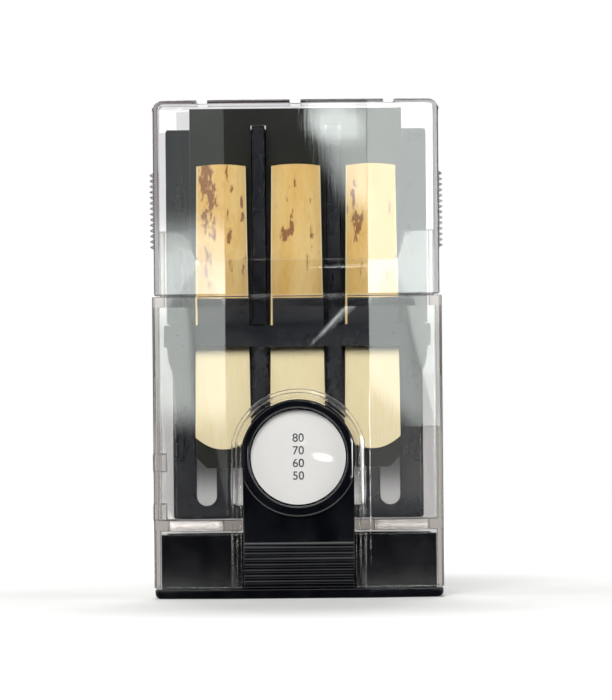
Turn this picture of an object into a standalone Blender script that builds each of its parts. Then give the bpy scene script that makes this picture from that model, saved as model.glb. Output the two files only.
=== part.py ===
"""Double-sided reed case that stands on a black humidifier base.

A clear faceted body drops over a water tank and carries a black spine plate. Three reeds lie on
each side of the spine, on a thin bed and under a clamp with springy tongues, and a clear lid
pulls straight up off the body's collar. The base keeps a tall tongue in an arch of the body's
front wall, with a round indicator behind a domed lens.

Metres, +Z up, +X right, front towards -Y. The origin is on the floor under the middle of the foot.
"""

import math

import bmesh
import bpy
from mathutils import Matrix, Vector

MM = 0.001

# Clearances
SEAT_GAP = 0.3 * MM            # between pieces that rest on or slide past each other
OVERRUN = 1.0 * MM             # how far a cutter passes the face that it cuts
EMBED = 0.5 * MM               # how far a rib or wall sinks into the wall that it grows from
VALLEY_SINK = 0.05 * MM        # how far the valleys of a saw-toothed grip lie under its wall
MERGE_DISTANCE = 0.001 * MM    # welds the caps of curves and the seams of turned shapes

# Reed
REED_LENGTH = 67.1 * MM
REED_TIP_WIDTH = 13.1 * MM
REED_BUTT_WIDTH = 11.5 * MM
REED_BARK_THICKNESS = 2.75 * MM
REED_BARK_LENGTH = 36.4 * MM
REED_VAMP_THICKNESS = 2.25 * MM
REED_VAMP_DROP_LENGTH = 2.4 * MM
REED_TIP_THICKNESS = 0.35 * MM
REED_TIP_BULGE = 2.9 * MM
REED_BUTT_BULGE = 0.45 * MM
REED_CROWN_RADIUS = 26.0 * MM

# Spine plate, its dividers, rails and vent slots
SPINE_THICKNESS = 1.8 * MM
SPINE_CORNER_RADIUS = 0.7 * MM
SPINE_PAST_BUTT = 8.3 * MM
SPINE_SHOULDER_WIDTH = 1.25 * MM
SHOULDER_RISE = 0.4 * MM       # the slant of the shoulders of the spine and the beds
SPINE_MARGIN = 1.15 * MM
TIP_ABOVE_SPINE_FOOT = 16.3 * MM
DIVIDER_WIDTH = 3.0 * MM
DIVIDER_FRONT = 6.2 * MM
DIVIDER_PAST_SPINE = 0.7 * MM
LOW_DIVIDER_WIDTH = 3.6 * MM
LOW_DIVIDER_FRONT = 4.4 * MM
DIVIDER_REED_GAP = 0.425 * MM
RAIL_WIDTH = 1.5 * MM
RAIL_OFFSET = 0.4 * MM
RAIL_HEIGHT = 2.3 * MM
RAIL_TOP_DROP = 1.0 * MM
RAIL_BELOW_TIP = 2.2 * MM
SLOT_WIDTH = 4.7 * MM
SLOT_BAR = 3.3 * MM
SLOT_FOOT = 3.0 * MM
SLOT_HEAD = 2.5 * MM

# Reed beds
BED_THICKNESS = 0.6 * MM
BED_PAST_SPINE = 4.9 * MM
BED_PAST_TIP = 4.4 * MM
BED_SIDE_MARGIN = 1.8 * MM
BED_SHOULDER_WIDTH = 0.95 * MM
BED_CHAMFER = 2.5 * MM

# Reed clamps
CLAMP_BAR_HEIGHT = 5.2 * MM
CLAMP_BAR_THICKNESS = 1.2 * MM
CLAMP_BELOW_SEAM = 6.7 * MM
CLAMP_SIDE_GAP = 1.3 * MM
CLAMP_FRONT_GAP = 0.4 * MM
CLAMP_EDGE_RADIUS = 0.35 * MM
CLAMP_TONGUE_WIDTH = 12.0 * MM
CLAMP_TONGUE_SHIFT = 0.3 * MM
CLAMP_TONGUE_THICKNESS = 0.6 * MM
CLAMP_TONGUE_SETBACK = 0.1 * MM
CLAMP_TONGUE_STRAIGHT = 2.1 * MM
CLAMP_TONGUE_FLARE = 0.35 * MM
CLAMP_TONGUE_END_GAP = 0.3 * MM
CLAMP_FOOT_WIDTH = 2.6 * MM
HOOK_RADIUS = 0.5 * MM
HOOK_DROP = 6.0 * MM
HOOK_INWARD = 1.8 * MM

# Clear walls
BODY_HEIGHT = 68.4 * MM
BODY_WALL = 1.5 * MM
LID_STEP = 0.5 * MM            # the lid is this much smaller than the body all round
LID_WALL = 1.1 * MM
LID_FIT_GAP = 0.3 * MM
COLLAR_WALL = 1.1 * MM
COLLAR_HEIGHT = 15.4 * MM
COLLAR_SPINE_GAP = 0.4 * MM
NECK_HEIGHT = 2.5 * MM
SCOOP_DEPTH = 6.6 * MM
SCOOP_TOP_HALF_WIDTH = 25.1 * MM
SCOOP_SLANT = 1.6 * MM
SCOOP_CORNER_RADIUS = 1.2 * MM
FACET_HALF_WIDTH = 16.85 * MM
FACET_FALL = 3.15 * MM         # how much the side facets fall back at the side walls
CORNER_RADIUS = 0.9 * MM
MIN_CORNER_RADIUS = 0.4 * MM
SHELF_ABOVE_TANK = 1.0 * MM
SHELF_THICKNESS = 2.3 * MM
SHELF_VENT_WIDTH = 2.0 * MM
SHELF_VENT_LENGTH = 13.0 * MM
SHELF_VENT_FIRST = 17.2 * MM    # from the middle of the case to the near end of each vent
SHELF_VENT_DEPTH = 4.0 * MM     # from the middle of the spine to the middle of each vent
GUIDE_THICKNESS = 1.2 * MM
GUIDE_HEIGHT = 33.7 * MM

# Lid details
LID_HEADROOM = 1.0 * MM
LID_TOP_THICKNESS = 0.8 * MM
LID_TOP_RADIUS = 2.3 * MM
LID_VENT_WIDTH = 2.5 * MM
LID_VENT_PITCH = 21.9 * MM
LID_VENT_BITE = 0.1 * MM        # how far a vent reaches below the lid's ceiling
GRIP_PITCH = 1.3 * MM
GRIP_HEIGHT = 1.0 * MM
GRIP_HALF_LENGTH = 4.9 * MM
GRIP_ABOVE_SEAM = 11.1 * MM
GRIP_COUNT = 14

# Pads on the left wall of the body
PAD_PROUD = 0.25 * MM
PAD_INWARD = 1.5 * MM
PAD_HALF_DEPTH = 2.8 * MM
LOW_PAD_HEIGHT = 3.7 * MM
LOW_PAD_RISE = 15.9 * MM
HIGH_PAD_HEIGHT = 4.0 * MM
HIGH_PAD_RISE = 27.4 * MM

# Humidifier base: foot, tank, sponge and grille
FOOT_HEIGHT = 2.2 * MM
FOOT_SIDE_INSET = 0.2 * MM
FOOT_LIP = 0.6 * MM
FOOT_BOTTOM_RADIUS = 1.4 * MM
TANK_HEIGHT = 12.8 * MM
TANK_WALL = 1.3 * MM
TANK_FLOOR = 1.2 * MM
GRILLE_THICKNESS = 1.2 * MM
GRILLE_DROP = 0.3 * MM
GRILLE_SLOT_WIDTH = 1.5 * MM
GRILLE_SLOT_PITCH = 3.2 * MM
GRILLE_SLOT_FRONT = 1.6 * MM
GRILLE_SLOT_BACK = 4.6 * MM
GRILLE_SLOTS_PER_SIDE = 8

# Front tongue and the arch that it fills
TONGUE_SKIRT = 0.9 * MM
TONGUE_SHOULDER = 0.5 * MM     # how much the arch's radius exceeds the half width
TONGUE_RECESS = 0.6 * MM
TONGUE_WALL = 1.2 * MM
TONGUE_BACK_GAP = 0.6 * MM
ARCH_CENTRE_HEIGHT = 33.1 * MM
ARCH_WALL = 1.2 * MM
ARCH_WALL_DEPTH = 3.0 * MM
ARCH_RIM_FOOT = 0.4 * MM
INNER_RIM_WIDTH = 1.0 * MM
INNER_RIM_PROUD = 0.5 * MM
OUTER_RIM_WIDTH = 2.1 * MM
OUTER_RIM_PROUD = 0.25 * MM
RIDGE_PITCH = 1.31 * MM
RIDGE_HEIGHT = 0.4 * MM
RIDGE_COUNT = 8

# Indicator: bezel, disc and lens
DISC_RADIUS = 11.2 * MM
DISC_THICKNESS = 0.5 * MM
LENS_EDGE = 0.4 * MM
LENS_RISE = 0.8 * MM
BEZEL_WALL = 0.4 * MM
BEZEL_FLANGE_WIDTH = 2.1 * MM
BEZEL_FLANGE = 0.6 * MM
BEZEL_CHAMFER = 0.25 * MM
BEZEL_LIP_WIDTH = 1.6 * MM
BEZEL_LIP_THICKNESS = 0.7 * MM
BEZEL_EDGE_INSET = 0.15 * MM

# Roundness of arcs and turned shapes, in steps
CORNER_STEPS = 5
ARCH_STEPS = 28
TURN_STEPS = 56
TIP_STEPS = 10
DOME_STEPS = 6
CROWN_STEPS = 128
SLOT_ROUND_SHARE = 0.98        # the slots' corner radius as a share of their half width

# Three reeds a side, and the two dividers between them, in steps of the reeds' pitch
BAYS = (-1, 0, 1)
DIVIDER_STEPS = (-0.5, 0.5)
BAY_EDGE_STEP = 1.5

SHARP_ANGLE = math.radians(30)

# Heights, from the foot up
body_bottom = FOOT_HEIGHT + SEAT_GAP
tank_top = FOOT_HEIGHT + TANK_HEIGHT
shelf_bottom = tank_top + SHELF_ABOVE_TANK
shelf_top = shelf_bottom + SHELF_THICKNESS
spine_bottom = shelf_top + SEAT_GAP
reed_tip = spine_bottom + TIP_ABOVE_SPINE_FOOT
reed_butt = reed_tip + REED_LENGTH
spine_top = reed_butt + SPINE_PAST_BUTT
divider_top = spine_top + DIVIDER_PAST_SPINE
bed_top = spine_top + BED_PAST_SPINE
bed_bottom = reed_tip - BED_PAST_TIP
seam = body_bottom + BODY_HEIGHT
collar_top = seam + COLLAR_HEIGHT
lid_bottom = seam + SEAT_GAP
lid_ceiling = bed_top + LID_HEADROOM
lid_top = lid_ceiling + LID_TOP_THICKNESS
clamp_top = seam - CLAMP_BELOW_SEAM
clamp_bottom = clamp_top - CLAMP_BAR_HEIGHT

# Widths, from the reeds out to the walls
reed_pitch = REED_TIP_WIDTH + 2 * DIVIDER_REED_GAP + LOW_DIVIDER_WIDTH
rail_inside = BAY_EDGE_STEP * reed_pitch + RAIL_OFFSET
rail_outside = rail_inside + RAIL_WIDTH
spine_half_width = rail_outside + SPINE_MARGIN
shoulder_half_width = spine_half_width + SPINE_SHOULDER_WIDTH
lid_inner_inset = LID_STEP + LID_WALL
collar_inset = lid_inner_inset + LID_FIT_GAP
neck_inset = collar_inset + COLLAR_WALL
tank_inset = BODY_WALL + SEAT_GAP
case_half_width = shoulder_half_width + COLLAR_SPINE_GAP + neck_inset
clamp_half_length = case_half_width - BODY_WALL - CLAMP_SIDE_GAP

# Radii and half widths, from the disc out to the arch
bezel_bore = DISC_RADIUS + SEAT_GAP
bezel_sleeve = bezel_bore + BEZEL_WALL
bezel_radius = bezel_sleeve + BEZEL_FLANGE_WIDTH
tongue_half_width = bezel_sleeve + SEAT_GAP + TONGUE_SKIRT
arch_half_width = tongue_half_width + SEAT_GAP
notch_half_width = arch_half_width + ARCH_WALL + SEAT_GAP

# Depths, from the middle of the spine out to the walls
spine_face = SPINE_THICKNESS / 2
bed_back = spine_face + SEAT_GAP
bed_front = bed_back + BED_THICKNESS
reed_back = bed_front + SEAT_GAP
clamp_back = reed_back + REED_BARK_THICKNESS + SEAT_GAP
clamp_front = clamp_back + CLAMP_BAR_THICKNESS
rail_front = spine_face + RAIL_HEIGHT
facet_slope = FACET_FALL / (case_half_width - FACET_HALF_WIDTH)
facet_stretch = math.sqrt(1 + facet_slope ** 2)
clamp_end_fall = facet_slope * (clamp_half_length - FACET_HALF_WIDTH)
case_half_depth = clamp_front + CLAMP_FRONT_GAP + clamp_end_fall + BODY_WALL * facet_stretch
tongue_front = case_half_depth - TONGUE_RECESS
tongue_back = LOW_DIVIDER_FRONT + TONGUE_BACK_GAP
arch_back = tongue_back - SEAT_GAP
parts = bpy.data.collections.new("reed_case")
cutters = bpy.data.collections.new("cutters")


def start_scene():
    """Empty the scene and link the two collections."""
    for thing in list(bpy.data.objects):
        bpy.data.objects.remove(thing, do_unlink=True)
    bpy.context.scene.collection.children.link(parts)
    bpy.context.scene.collection.children.link(cutters)


def make_material(name, color, roughness, metallic=0.0, transmission=0.0):
    """A Principled material with one colour."""
    material = bpy.data.materials.new(name)
    material.use_nodes = True
    shader = material.node_tree.nodes["Principled BSDF"]
    shader.inputs["Base Color"].default_value = (*color, 1.0)
    shader.inputs["Roughness"].default_value = roughness
    shader.inputs["Metallic"].default_value = metallic
    shader.inputs["Transmission Weight"].default_value = transmission
    return material


# Outlines

def rounded(corners, radii):
    """A closed outline through the corners, each rounded to its own radius (zero stays sharp)."""
    points = []
    for index, (corner, radius) in enumerate(zip(corners, radii)):
        here = Vector(corner)
        before = (Vector(corners[index - 1]) - here).normalized()
        after = (Vector(corners[(index + 1) % len(corners)]) - here).normalized()
        if radius == 0:
            points.append(here)
            continue
        half_angle = before.angle(after) / 2
        centre = here + (before + after).normalized() * radius / math.sin(half_angle)
        spoke = here + before * radius / math.tan(half_angle) - centre
        left_turn = after.x * before.y - after.y * before.x > 0
        sweep = (math.pi - 2 * half_angle) * (1 if left_turn else -1)
        for step in range(CORNER_STEPS + 1):
            turn = Matrix.Rotation(sweep * step / CORNER_STEPS, 2)
            points.append(centre + turn @ spoke)
    return points


def section_depth(x, inset):
    """Half depth of the case's section at x, drawn in from the outer faces by inset."""
    flat = case_half_depth - inset
    slanted = case_half_depth - facet_slope * (abs(x) - FACET_HALF_WIDTH) - inset * facet_stretch
    return min(flat, slanted)


def case_section(inset, side_inset=None, lip=0.0):
    """The case's faceted section: a flat middle facet and two that fall back, front and rear."""
    half_width = case_half_width - (inset if side_inset is None else side_inset)
    bend = FACET_HALF_WIDTH - inset * (facet_stretch - 1) / facet_slope
    edge_depth = section_depth(half_width, inset) + lip
    front = case_half_depth - inset + lip
    radius = max(CORNER_RADIUS - inset, MIN_CORNER_RADIUS)
    quarter = [(half_width, edge_depth, radius), (bend, front, 0)]
    corners = quarter + [(-x, y, r) for x, y, r in reversed(quarter)]
    corners += [(-x, -y, r) for x, y, r in corners]
    return rounded([(x, y) for x, y, _ in corners], [r for _, _, r in corners])


def arch_outline(grow, bottom):
    """The tongue's arch, widened by grow: a round head on two straight sides."""
    half_width = tongue_half_width + grow
    radius = half_width + TONGUE_SHOULDER
    start = math.acos(half_width / radius)
    points = [(-half_width, bottom), (half_width, bottom)]
    for step in range(ARCH_STEPS + 1):
        angle = start + (math.pi - 2 * start) * step / ARCH_STEPS
        points.append((radius * math.cos(angle), ARCH_CENTRE_HEIGHT + radius * math.sin(angle)))
    return points


def saw_outline(face, height, pitch, count, low):
    """The saw-toothed outline of a grip, as distance from the middle and height."""
    points = [(face - EMBED, low)]
    for index in range(count):
        foot = low + index * pitch
        points += [(face - VALLEY_SINK, foot), (face + height, foot + pitch / 2)]
    top = low + count * pitch
    return points + [(face - VALLEY_SINK, top), (face - EMBED, top)]


def slot_outline(x, low, high, width):
    """An upright slot with round ends."""
    half = width / 2
    corners = [(x - half, low), (x + half, low), (x + half, high), (x - half, high)]
    return rounded(corners, [half * SLOT_ROUND_SHARE] * len(corners))


# Solids

def link(thing, collection=parts):
    """Put a new object in a collection."""
    collection.objects.link(thing)
    return thing


def as_mesh(source):
    """Turn a curve object into a mesh object with welded caps, and drop the curve."""
    bpy.context.view_layer.update()
    mesh = bpy.data.meshes.new_from_object(source.evaluated_get(bpy.context.evaluated_depsgraph_get()))
    work = bmesh.new()
    work.from_mesh(mesh)
    bmesh.ops.remove_doubles(work, verts=work.verts, dist=MERGE_DISTANCE)
    bmesh.ops.recalc_face_normals(work, faces=work.faces)
    work.to_mesh(mesh)
    work.free()
    solid = link(bpy.data.objects.new(source.name, mesh))
    solid.matrix_world = source.matrix_world
    name = source.name
    bpy.data.objects.remove(source, do_unlink=True)
    solid.name = name
    return solid


def extruded(name, outline, low, high, along="Z"):
    """Extrude an outline from low to high.

    It is drawn in X and Y for along Z, in X and Z for along Y, and in Y and Z for along X.
    """
    curve = bpy.data.curves.new(name, "CURVE")
    curve.dimensions = "2D"
    curve.fill_mode = "BOTH"
    curve.extrude = (high - low) / 2
    spline = curve.splines.new("POLY")
    spline.points.add(len(outline) - 1)
    for point, (u, v) in zip(spline.points, outline):
        point.co = (u, v, 0, 1)
    spline.use_cyclic_u = True
    solid = link(bpy.data.objects.new(name, curve))
    middle = (low + high) / 2
    if along == "Z":
        solid.location.z = middle
    elif along == "Y":
        solid.rotation_euler.x = math.pi / 2
        solid.location.y = middle
    else:
        solid.rotation_euler = (math.pi / 2, 0, math.pi / 2)
        solid.location.x = middle
    return as_mesh(solid)


def box(name, low, high):
    """A box between two corners."""
    low, high = Vector(low), Vector(high)
    mesh = bpy.data.meshes.new(name)
    work = bmesh.new()
    bmesh.ops.create_cube(work, size=1.0, matrix=Matrix.Diagonal((*(high - low), 1.0)))
    work.to_mesh(mesh)
    work.free()
    solid = link(bpy.data.objects.new(name, mesh))
    solid.location = (low + high) / 2
    return solid


def cylinder(name, radius, low, high, y, steps):
    """An upright cylinder whose axis is at y."""
    mesh = bpy.data.meshes.new(name)
    work = bmesh.new()
    bmesh.ops.create_cone(work, cap_ends=True, segments=steps, radius1=radius, radius2=radius,
                          depth=high - low)
    work.to_mesh(mesh)
    work.free()
    solid = link(bpy.data.objects.new(name, mesh))
    solid.location.y = y
    solid.location.z = (low + high) / 2
    return solid


def turned(name, profile, closed=False):
    """Turn a profile of (radius, forward distance) about the indicator's axis, which points at -Y."""
    mesh = bpy.data.meshes.new(name)
    work = bmesh.new()
    points = [work.verts.new((radius, 0, forward)) for radius, forward in profile]
    for first, second in zip(points, points[1:] + points[:1] if closed else points[1:]):
        work.edges.new((first, second))
    work.to_mesh(mesh)
    work.free()
    solid = link(bpy.data.objects.new(name, mesh))
    solid.rotation_euler.x = math.pi / 2
    solid.location.z = ARCH_CENTRE_HEIGHT
    screw = solid.modifiers.new("turn", "SCREW")
    screw.steps = screw.render_steps = TURN_STEPS
    screw.use_merge_vertices = True
    screw.merge_threshold = MERGE_DISTANCE
    return solid


def combine(target, operation, *tools):
    """Join, cut or trim the target with other solids, which become hidden helpers."""
    for tool in tools:
        modifier = target.modifiers.new(tool.name, "BOOLEAN")
        modifier.operation = operation
        modifier.solver = "EXACT"
        modifier.object = tool
        tool.hide_render = True
        tool.display_type = "WIRE"
        parts.objects.unlink(tool)
        cutters.objects.link(tool)
    return target


def join(target, *tools):
    """Add the tools to the target."""
    return combine(target, "UNION", *tools)


def cut(target, *tools):
    """Take the tools out of the target."""
    return combine(target, "DIFFERENCE", *tools)


def trim(target, *tools):
    """Keep only what the target shares with the tools."""
    return combine(target, "INTERSECT", *tools)


def baked(source):
    """The finished mesh of an object, in the world's frame."""
    bpy.context.view_layer.update()
    mesh = bpy.data.meshes.new_from_object(source.evaluated_get(bpy.context.evaluated_depsgraph_get()))
    mesh.transform(source.matrix_world)
    return mesh


def placed(name, mesh, location, turn=0.0):
    """An object that shows a shared mesh, turned about Z."""
    thing = link(bpy.data.objects.new(name, mesh))
    thing.location = location
    thing.rotation_euler.z = turn
    return thing


def finish(thing, material, parent=None, smooth=False):
    """Give a piece its material, shading and parent."""
    thing.data.materials.clear()
    thing.data.materials.append(material)
    if smooth:
        thing.data.shade_smooth()
        thing.data.set_sharp_from_angle(angle=SHARP_ANGLE)
    if parent:
        thing.parent = parent
    return thing


# Humidifier base

def notched_block(name, inset, grow, low, high):
    """A block of the case's section with a notch at the front for the tongue and the arch wall."""
    block = extruded(name, case_section(inset), low, high)
    half_width = notch_half_width + grow
    notch = box(name + "_notch", (-half_width, -case_half_depth, low - OVERRUN),
                (half_width, grow - arch_back, high + OVERRUN))
    return cut(block, notch)


def build_tank():
    """The foot plate with the water tank's walls standing on it."""
    foot = extruded("humidifier_tank", case_section(0.0, FOOT_SIDE_INSET, FOOT_LIP), 0.0, FOOT_HEIGHT)
    half_width = case_half_width - FOOT_SIDE_INSET
    low, high = 0.0, FOOT_HEIGHT + OVERRUN
    corners = [(-half_width, low), (half_width, low), (half_width, high), (-half_width, high)]
    outline = rounded(corners, [FOOT_BOTTOM_RADIUS, FOOT_BOTTOM_RADIUS, 0, 0])
    reach = case_half_depth + FOOT_LIP + OVERRUN
    trim(foot, extruded("foot_corners", outline, -reach, reach, "Y"))
    walls = notched_block("tank_walls", tank_inset, 0.0, FOOT_HEIGHT - EMBED, tank_top)
    hollow = notched_block("tank_hollow", tank_inset + TANK_WALL, TANK_WALL,
                           FOOT_HEIGHT + TANK_FLOOR, tank_top + OVERRUN)
    return cut(join(foot, walls), hollow)


def build_grille():
    """The slotted cover that presses into the tank's mouth."""
    inset = tank_inset + TANK_WALL + SEAT_GAP
    top = tank_top - GRILLE_DROP
    low = top - GRILLE_THICKNESS
    grille = notched_block("tank_grille", inset, TANK_WALL + SEAT_GAP, low, top)
    for index in range(-GRILLE_SLOTS_PER_SIDE, GRILLE_SLOTS_PER_SIDE + 1):
        x = index * GRILLE_SLOT_PITCH
        slot = box(f"grille_slot_{index + GRILLE_SLOTS_PER_SIDE}",
                   (x - GRILLE_SLOT_WIDTH / 2, -GRILLE_SLOT_FRONT, low - OVERRUN),
                   (x + GRILLE_SLOT_WIDTH / 2, GRILLE_SLOT_BACK, top + OVERRUN))
        cut(grille, slot)
    return grille


def build_sponge():
    """The foam block that holds the water under the grille."""
    inset = tank_inset + TANK_WALL + SEAT_GAP
    low = FOOT_HEIGHT + TANK_FLOOR + SEAT_GAP
    high = tank_top - GRILLE_DROP - GRILLE_THICKNESS - SEAT_GAP
    return notched_block("moisture_sponge", inset, TANK_WALL + SEAT_GAP, low, high)


def build_tongue():
    """The arched front cover: a tray open at the back, with grip ridges under the indicator."""
    tongue = extruded("front_tongue", arch_outline(0.0, body_bottom), -tongue_front, -tongue_back, "Y")
    inside = extruded("tongue_inside", arch_outline(-TONGUE_SKIRT, body_bottom + TONGUE_WALL),
                      TONGUE_WALL - tongue_front, OVERRUN - tongue_back, "Y")
    saw = saw_outline(tongue_front, RIDGE_HEIGHT, RIDGE_PITCH, RIDGE_COUNT, body_bottom + SEAT_GAP)
    half_width = tongue_half_width - SEAT_GAP
    ridges = extruded("tongue_ridges", [(-y, z) for y, z in saw], -half_width, half_width, "X")
    hole_radius = bezel_sleeve + SEAT_GAP
    high, low = tongue_front + OVERRUN, tongue_front - TONGUE_WALL - OVERRUN
    hole = turned("tongue_hole", [(0, high), (hole_radius, high), (hole_radius, low), (0, low)])
    cut(tongue, inside)
    join(tongue, ridges)
    return cut(tongue, hole)


def build_bezel():
    """The ring round the indicator: a flange on the tongue, a sleeve through it and a back lip."""
    flange_back = tongue_front + SEAT_GAP
    face = flange_back + BEZEL_FLANGE
    seat = face - BEZEL_CHAMFER - LENS_RISE - LENS_EDGE - DISC_THICKNESS - 2 * SEAT_GAP
    back = seat - BEZEL_LIP_THICKNESS
    lip = bezel_bore - BEZEL_LIP_WIDTH
    profile = [(bezel_bore + BEZEL_CHAMFER, face), (bezel_radius - BEZEL_CHAMFER, face),
               (bezel_radius, face - BEZEL_CHAMFER), (bezel_radius, flange_back),
               (bezel_sleeve, flange_back), (bezel_sleeve, back), (lip, back), (lip, seat),
               (bezel_bore, seat), (bezel_bore, face - BEZEL_CHAMFER)]
    bezel = turned("indicator_bezel", profile, closed=True)
    bounds = extruded("bezel_bounds", arch_outline(-BEZEL_EDGE_INSET, body_bottom),
                      -face - OVERRUN, OVERRUN - back, "Y")
    return trim(bezel, bounds), seat


def build_indicator(seat):
    """The indicator disc on the bezel's lip and the domed lens in front of it."""
    disc_back = seat + SEAT_GAP
    disc_front = disc_back + DISC_THICKNESS
    disc = turned("indicator_disc", [(0, disc_front), (DISC_RADIUS, disc_front),
                                     (DISC_RADIUS, disc_back), (0, disc_back)])
    lens_back = disc_front + SEAT_GAP
    edge = lens_back + LENS_EDGE
    dome = []
    for step in range(DOME_STEPS + 1):
        share = math.sin(math.pi / 2 * step / DOME_STEPS)
        dome.append((DISC_RADIUS * share, edge + LENS_RISE * (1 - share ** 2)))
    lens = turned("disc_lens", dome + [(DISC_RADIUS, lens_back), (0, lens_back)])
    return disc, lens


# Clear body and lid

def build_body_shell():
    """The clear case body with its collar, shelf, spine guides, arch and side pads."""
    reach = case_half_depth + OVERRUN
    shell = extruded("body_shell", case_section(0.0), body_bottom, seam)
    join(shell, extruded("collar", case_section(collar_inset), seam - NECK_HEIGHT / 2, collar_top))
    neck_bottom = seam - NECK_HEIGHT
    cut(shell,
        extruded("neck_bore", case_section(neck_inset), neck_bottom - OVERRUN, collar_top + OVERRUN),
        extruded("reed_chamber", case_section(BODY_WALL), shelf_top, neck_bottom),
        extruded("tank_chamber", case_section(BODY_WALL), body_bottom - OVERRUN, shelf_bottom))

    scoop_floor = collar_top - SCOOP_DEPTH
    scoop_top = collar_top + OVERRUN
    low_half = SCOOP_TOP_HALF_WIDTH - SCOOP_SLANT
    high_half = SCOOP_TOP_HALF_WIDTH + SCOOP_SLANT * OVERRUN / SCOOP_DEPTH
    scoop = [(-low_half, scoop_floor), (low_half, scoop_floor), (high_half, scoop_top),
             (-high_half, scoop_top)]
    radii = [SCOOP_CORNER_RADIUS, SCOOP_CORNER_RADIUS, 0, 0]
    cut(shell, extruded("finger_scoop", rounded(scoop, radii), -reach, reach, "Y"))

    inner_wall = case_half_depth - BODY_WALL
    rim_foot = body_bottom + ARCH_RIM_FOOT
    join(shell,
         extruded("arch_wall", arch_outline(SEAT_GAP + ARCH_WALL, rim_foot),
                  -inner_wall - EMBED, ARCH_WALL_DEPTH - inner_wall, "Y"),
         extruded("outer_rim", arch_outline(SEAT_GAP + OUTER_RIM_WIDTH, rim_foot),
                  -case_half_depth - OUTER_RIM_PROUD, EMBED - inner_wall - BODY_WALL / 2, "Y"),
         extruded("inner_rim", arch_outline(SEAT_GAP + INNER_RIM_WIDTH, rim_foot),
                  -case_half_depth - INNER_RIM_PROUD, EMBED - case_half_depth, "Y"))
    cut(shell, extruded("arch", arch_outline(SEAT_GAP, body_bottom - OVERRUN), -reach, -arch_back, "Y"))

    wall_inside = case_half_width - BODY_WALL
    guide_back = spine_face + SEAT_GAP
    for side in (-1, 1):
        for face in (-1, 1):
            near, far = side * (rail_outside + SEAT_GAP), side * (wall_inside + EMBED)
            low, high = face * guide_back, face * (guide_back + GUIDE_THICKNESS)
            guide = box(f"guide_{side}_{face}",
                        (min(near, far), min(low, high), shelf_top - EMBED),
                        (max(near, far), max(low, high), shelf_top + GUIDE_HEIGHT))
            join(shell, guide)
    for label, rise, height in (("low", LOW_PAD_RISE, LOW_PAD_HEIGHT),
                                ("high", HIGH_PAD_RISE, HIGH_PAD_HEIGHT)):
        pad = box(label + "_pad", (-case_half_width - PAD_PROUD, -PAD_HALF_DEPTH, body_bottom + rise),
                  (PAD_INWARD - wall_inside, PAD_HALF_DEPTH, body_bottom + rise + height))
        join(shell, pad)
    half_vent = SHELF_VENT_WIDTH / 2
    for side in (-1, 1):
        near, far = side * SHELF_VENT_FIRST, side * (SHELF_VENT_FIRST + SHELF_VENT_LENGTH)
        for face in (-1, 1):
            middle = face * SHELF_VENT_DEPTH
            vent = box(f"shelf_vent_{side}_{face}",
                       (min(near, far), middle - half_vent, shelf_bottom - OVERRUN),
                       (max(near, far), middle + half_vent, shelf_top + OVERRUN))
            cut(shell, vent)
    return shell


def lid_block(name, inset, top, top_radius):
    """A block of the lid's section whose two top edges at the sides are rounded."""
    low = lid_bottom if inset == LID_STEP else lid_bottom - OVERRUN
    block = extruded(name, case_section(inset), low, top)
    half_width = case_half_width - inset
    foot = lid_bottom - 2 * OVERRUN
    corners = [(-half_width, foot), (half_width, foot), (half_width, top), (-half_width, top)]
    reach = case_half_depth + OVERRUN
    outline = rounded(corners, [0, 0, top_radius, top_radius])
    return trim(block, extruded(name + "_corners", outline, -reach, reach, "Y"))


def build_lid():
    """The clear lid: a deep cap with grip ribs at the sides and three vent grooves across its top."""
    lid = lid_block("lid_shell", LID_STEP, lid_top, LID_TOP_RADIUS)
    cut(lid, lid_block("lid_inside", lid_inner_inset, lid_ceiling, LID_TOP_RADIUS - LID_WALL))
    reach = case_half_depth + OVERRUN
    for index in BAYS:
        x = index * LID_VENT_PITCH
        vent = box(f"lid_vent_{index + 1}", (x - LID_VENT_WIDTH / 2, -reach, lid_ceiling - LID_VENT_BITE),
                   (x + LID_VENT_WIDTH / 2, reach, lid_top + OVERRUN))
        cut(lid, vent)
    saw = saw_outline(case_half_width - LID_STEP, GRIP_HEIGHT, GRIP_PITCH, GRIP_COUNT,
                      seam + GRIP_ABOVE_SEAM)
    for side in (-1, 1):
        join(lid, extruded(f"lid_grip_{side}", [(side * x, z) for x, z in saw],
                           -GRIP_HALF_LENGTH, GRIP_HALF_LENGTH, "Y"))
    return lid


# Spine, beds and clamps

def divider_boxes(name, grow):
    """Boxes along the two lines between the reeds: a wide low one and a slim tall one each."""
    step = clamp_top + SEAT_GAP
    boxes = []
    for side in DIVIDER_STEPS:
        x = side * reed_pitch
        for label, width, front, low, high in (
                ("low", LOW_DIVIDER_WIDTH, LOW_DIVIDER_FRONT, bed_bottom - OVERRUN, step + EMBED),
                ("tall", DIVIDER_WIDTH, DIVIDER_FRONT, step, divider_top)):
            half_width = width / 2 + grow
            boxes.append(box(f"{name}_{label}_{side}", (x - half_width, -front, low),
                             (x + half_width, front, high + grow)))
    return boxes


def spine_outline():
    """The spine plate's outline, wider above the clamp than below it."""
    low, high = spine_bottom, spine_top
    shoulder = clamp_top + SHOULDER_RISE
    corners = [(-spine_half_width, low), (spine_half_width, low), (spine_half_width, clamp_top),
               (shoulder_half_width, shoulder), (shoulder_half_width, high),
               (-shoulder_half_width, high), (-shoulder_half_width, shoulder),
               (-spine_half_width, clamp_top)]
    radius = SPINE_CORNER_RADIUS
    return rounded(corners, [radius, radius, 0, 0, radius, radius, 0, 0])


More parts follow.
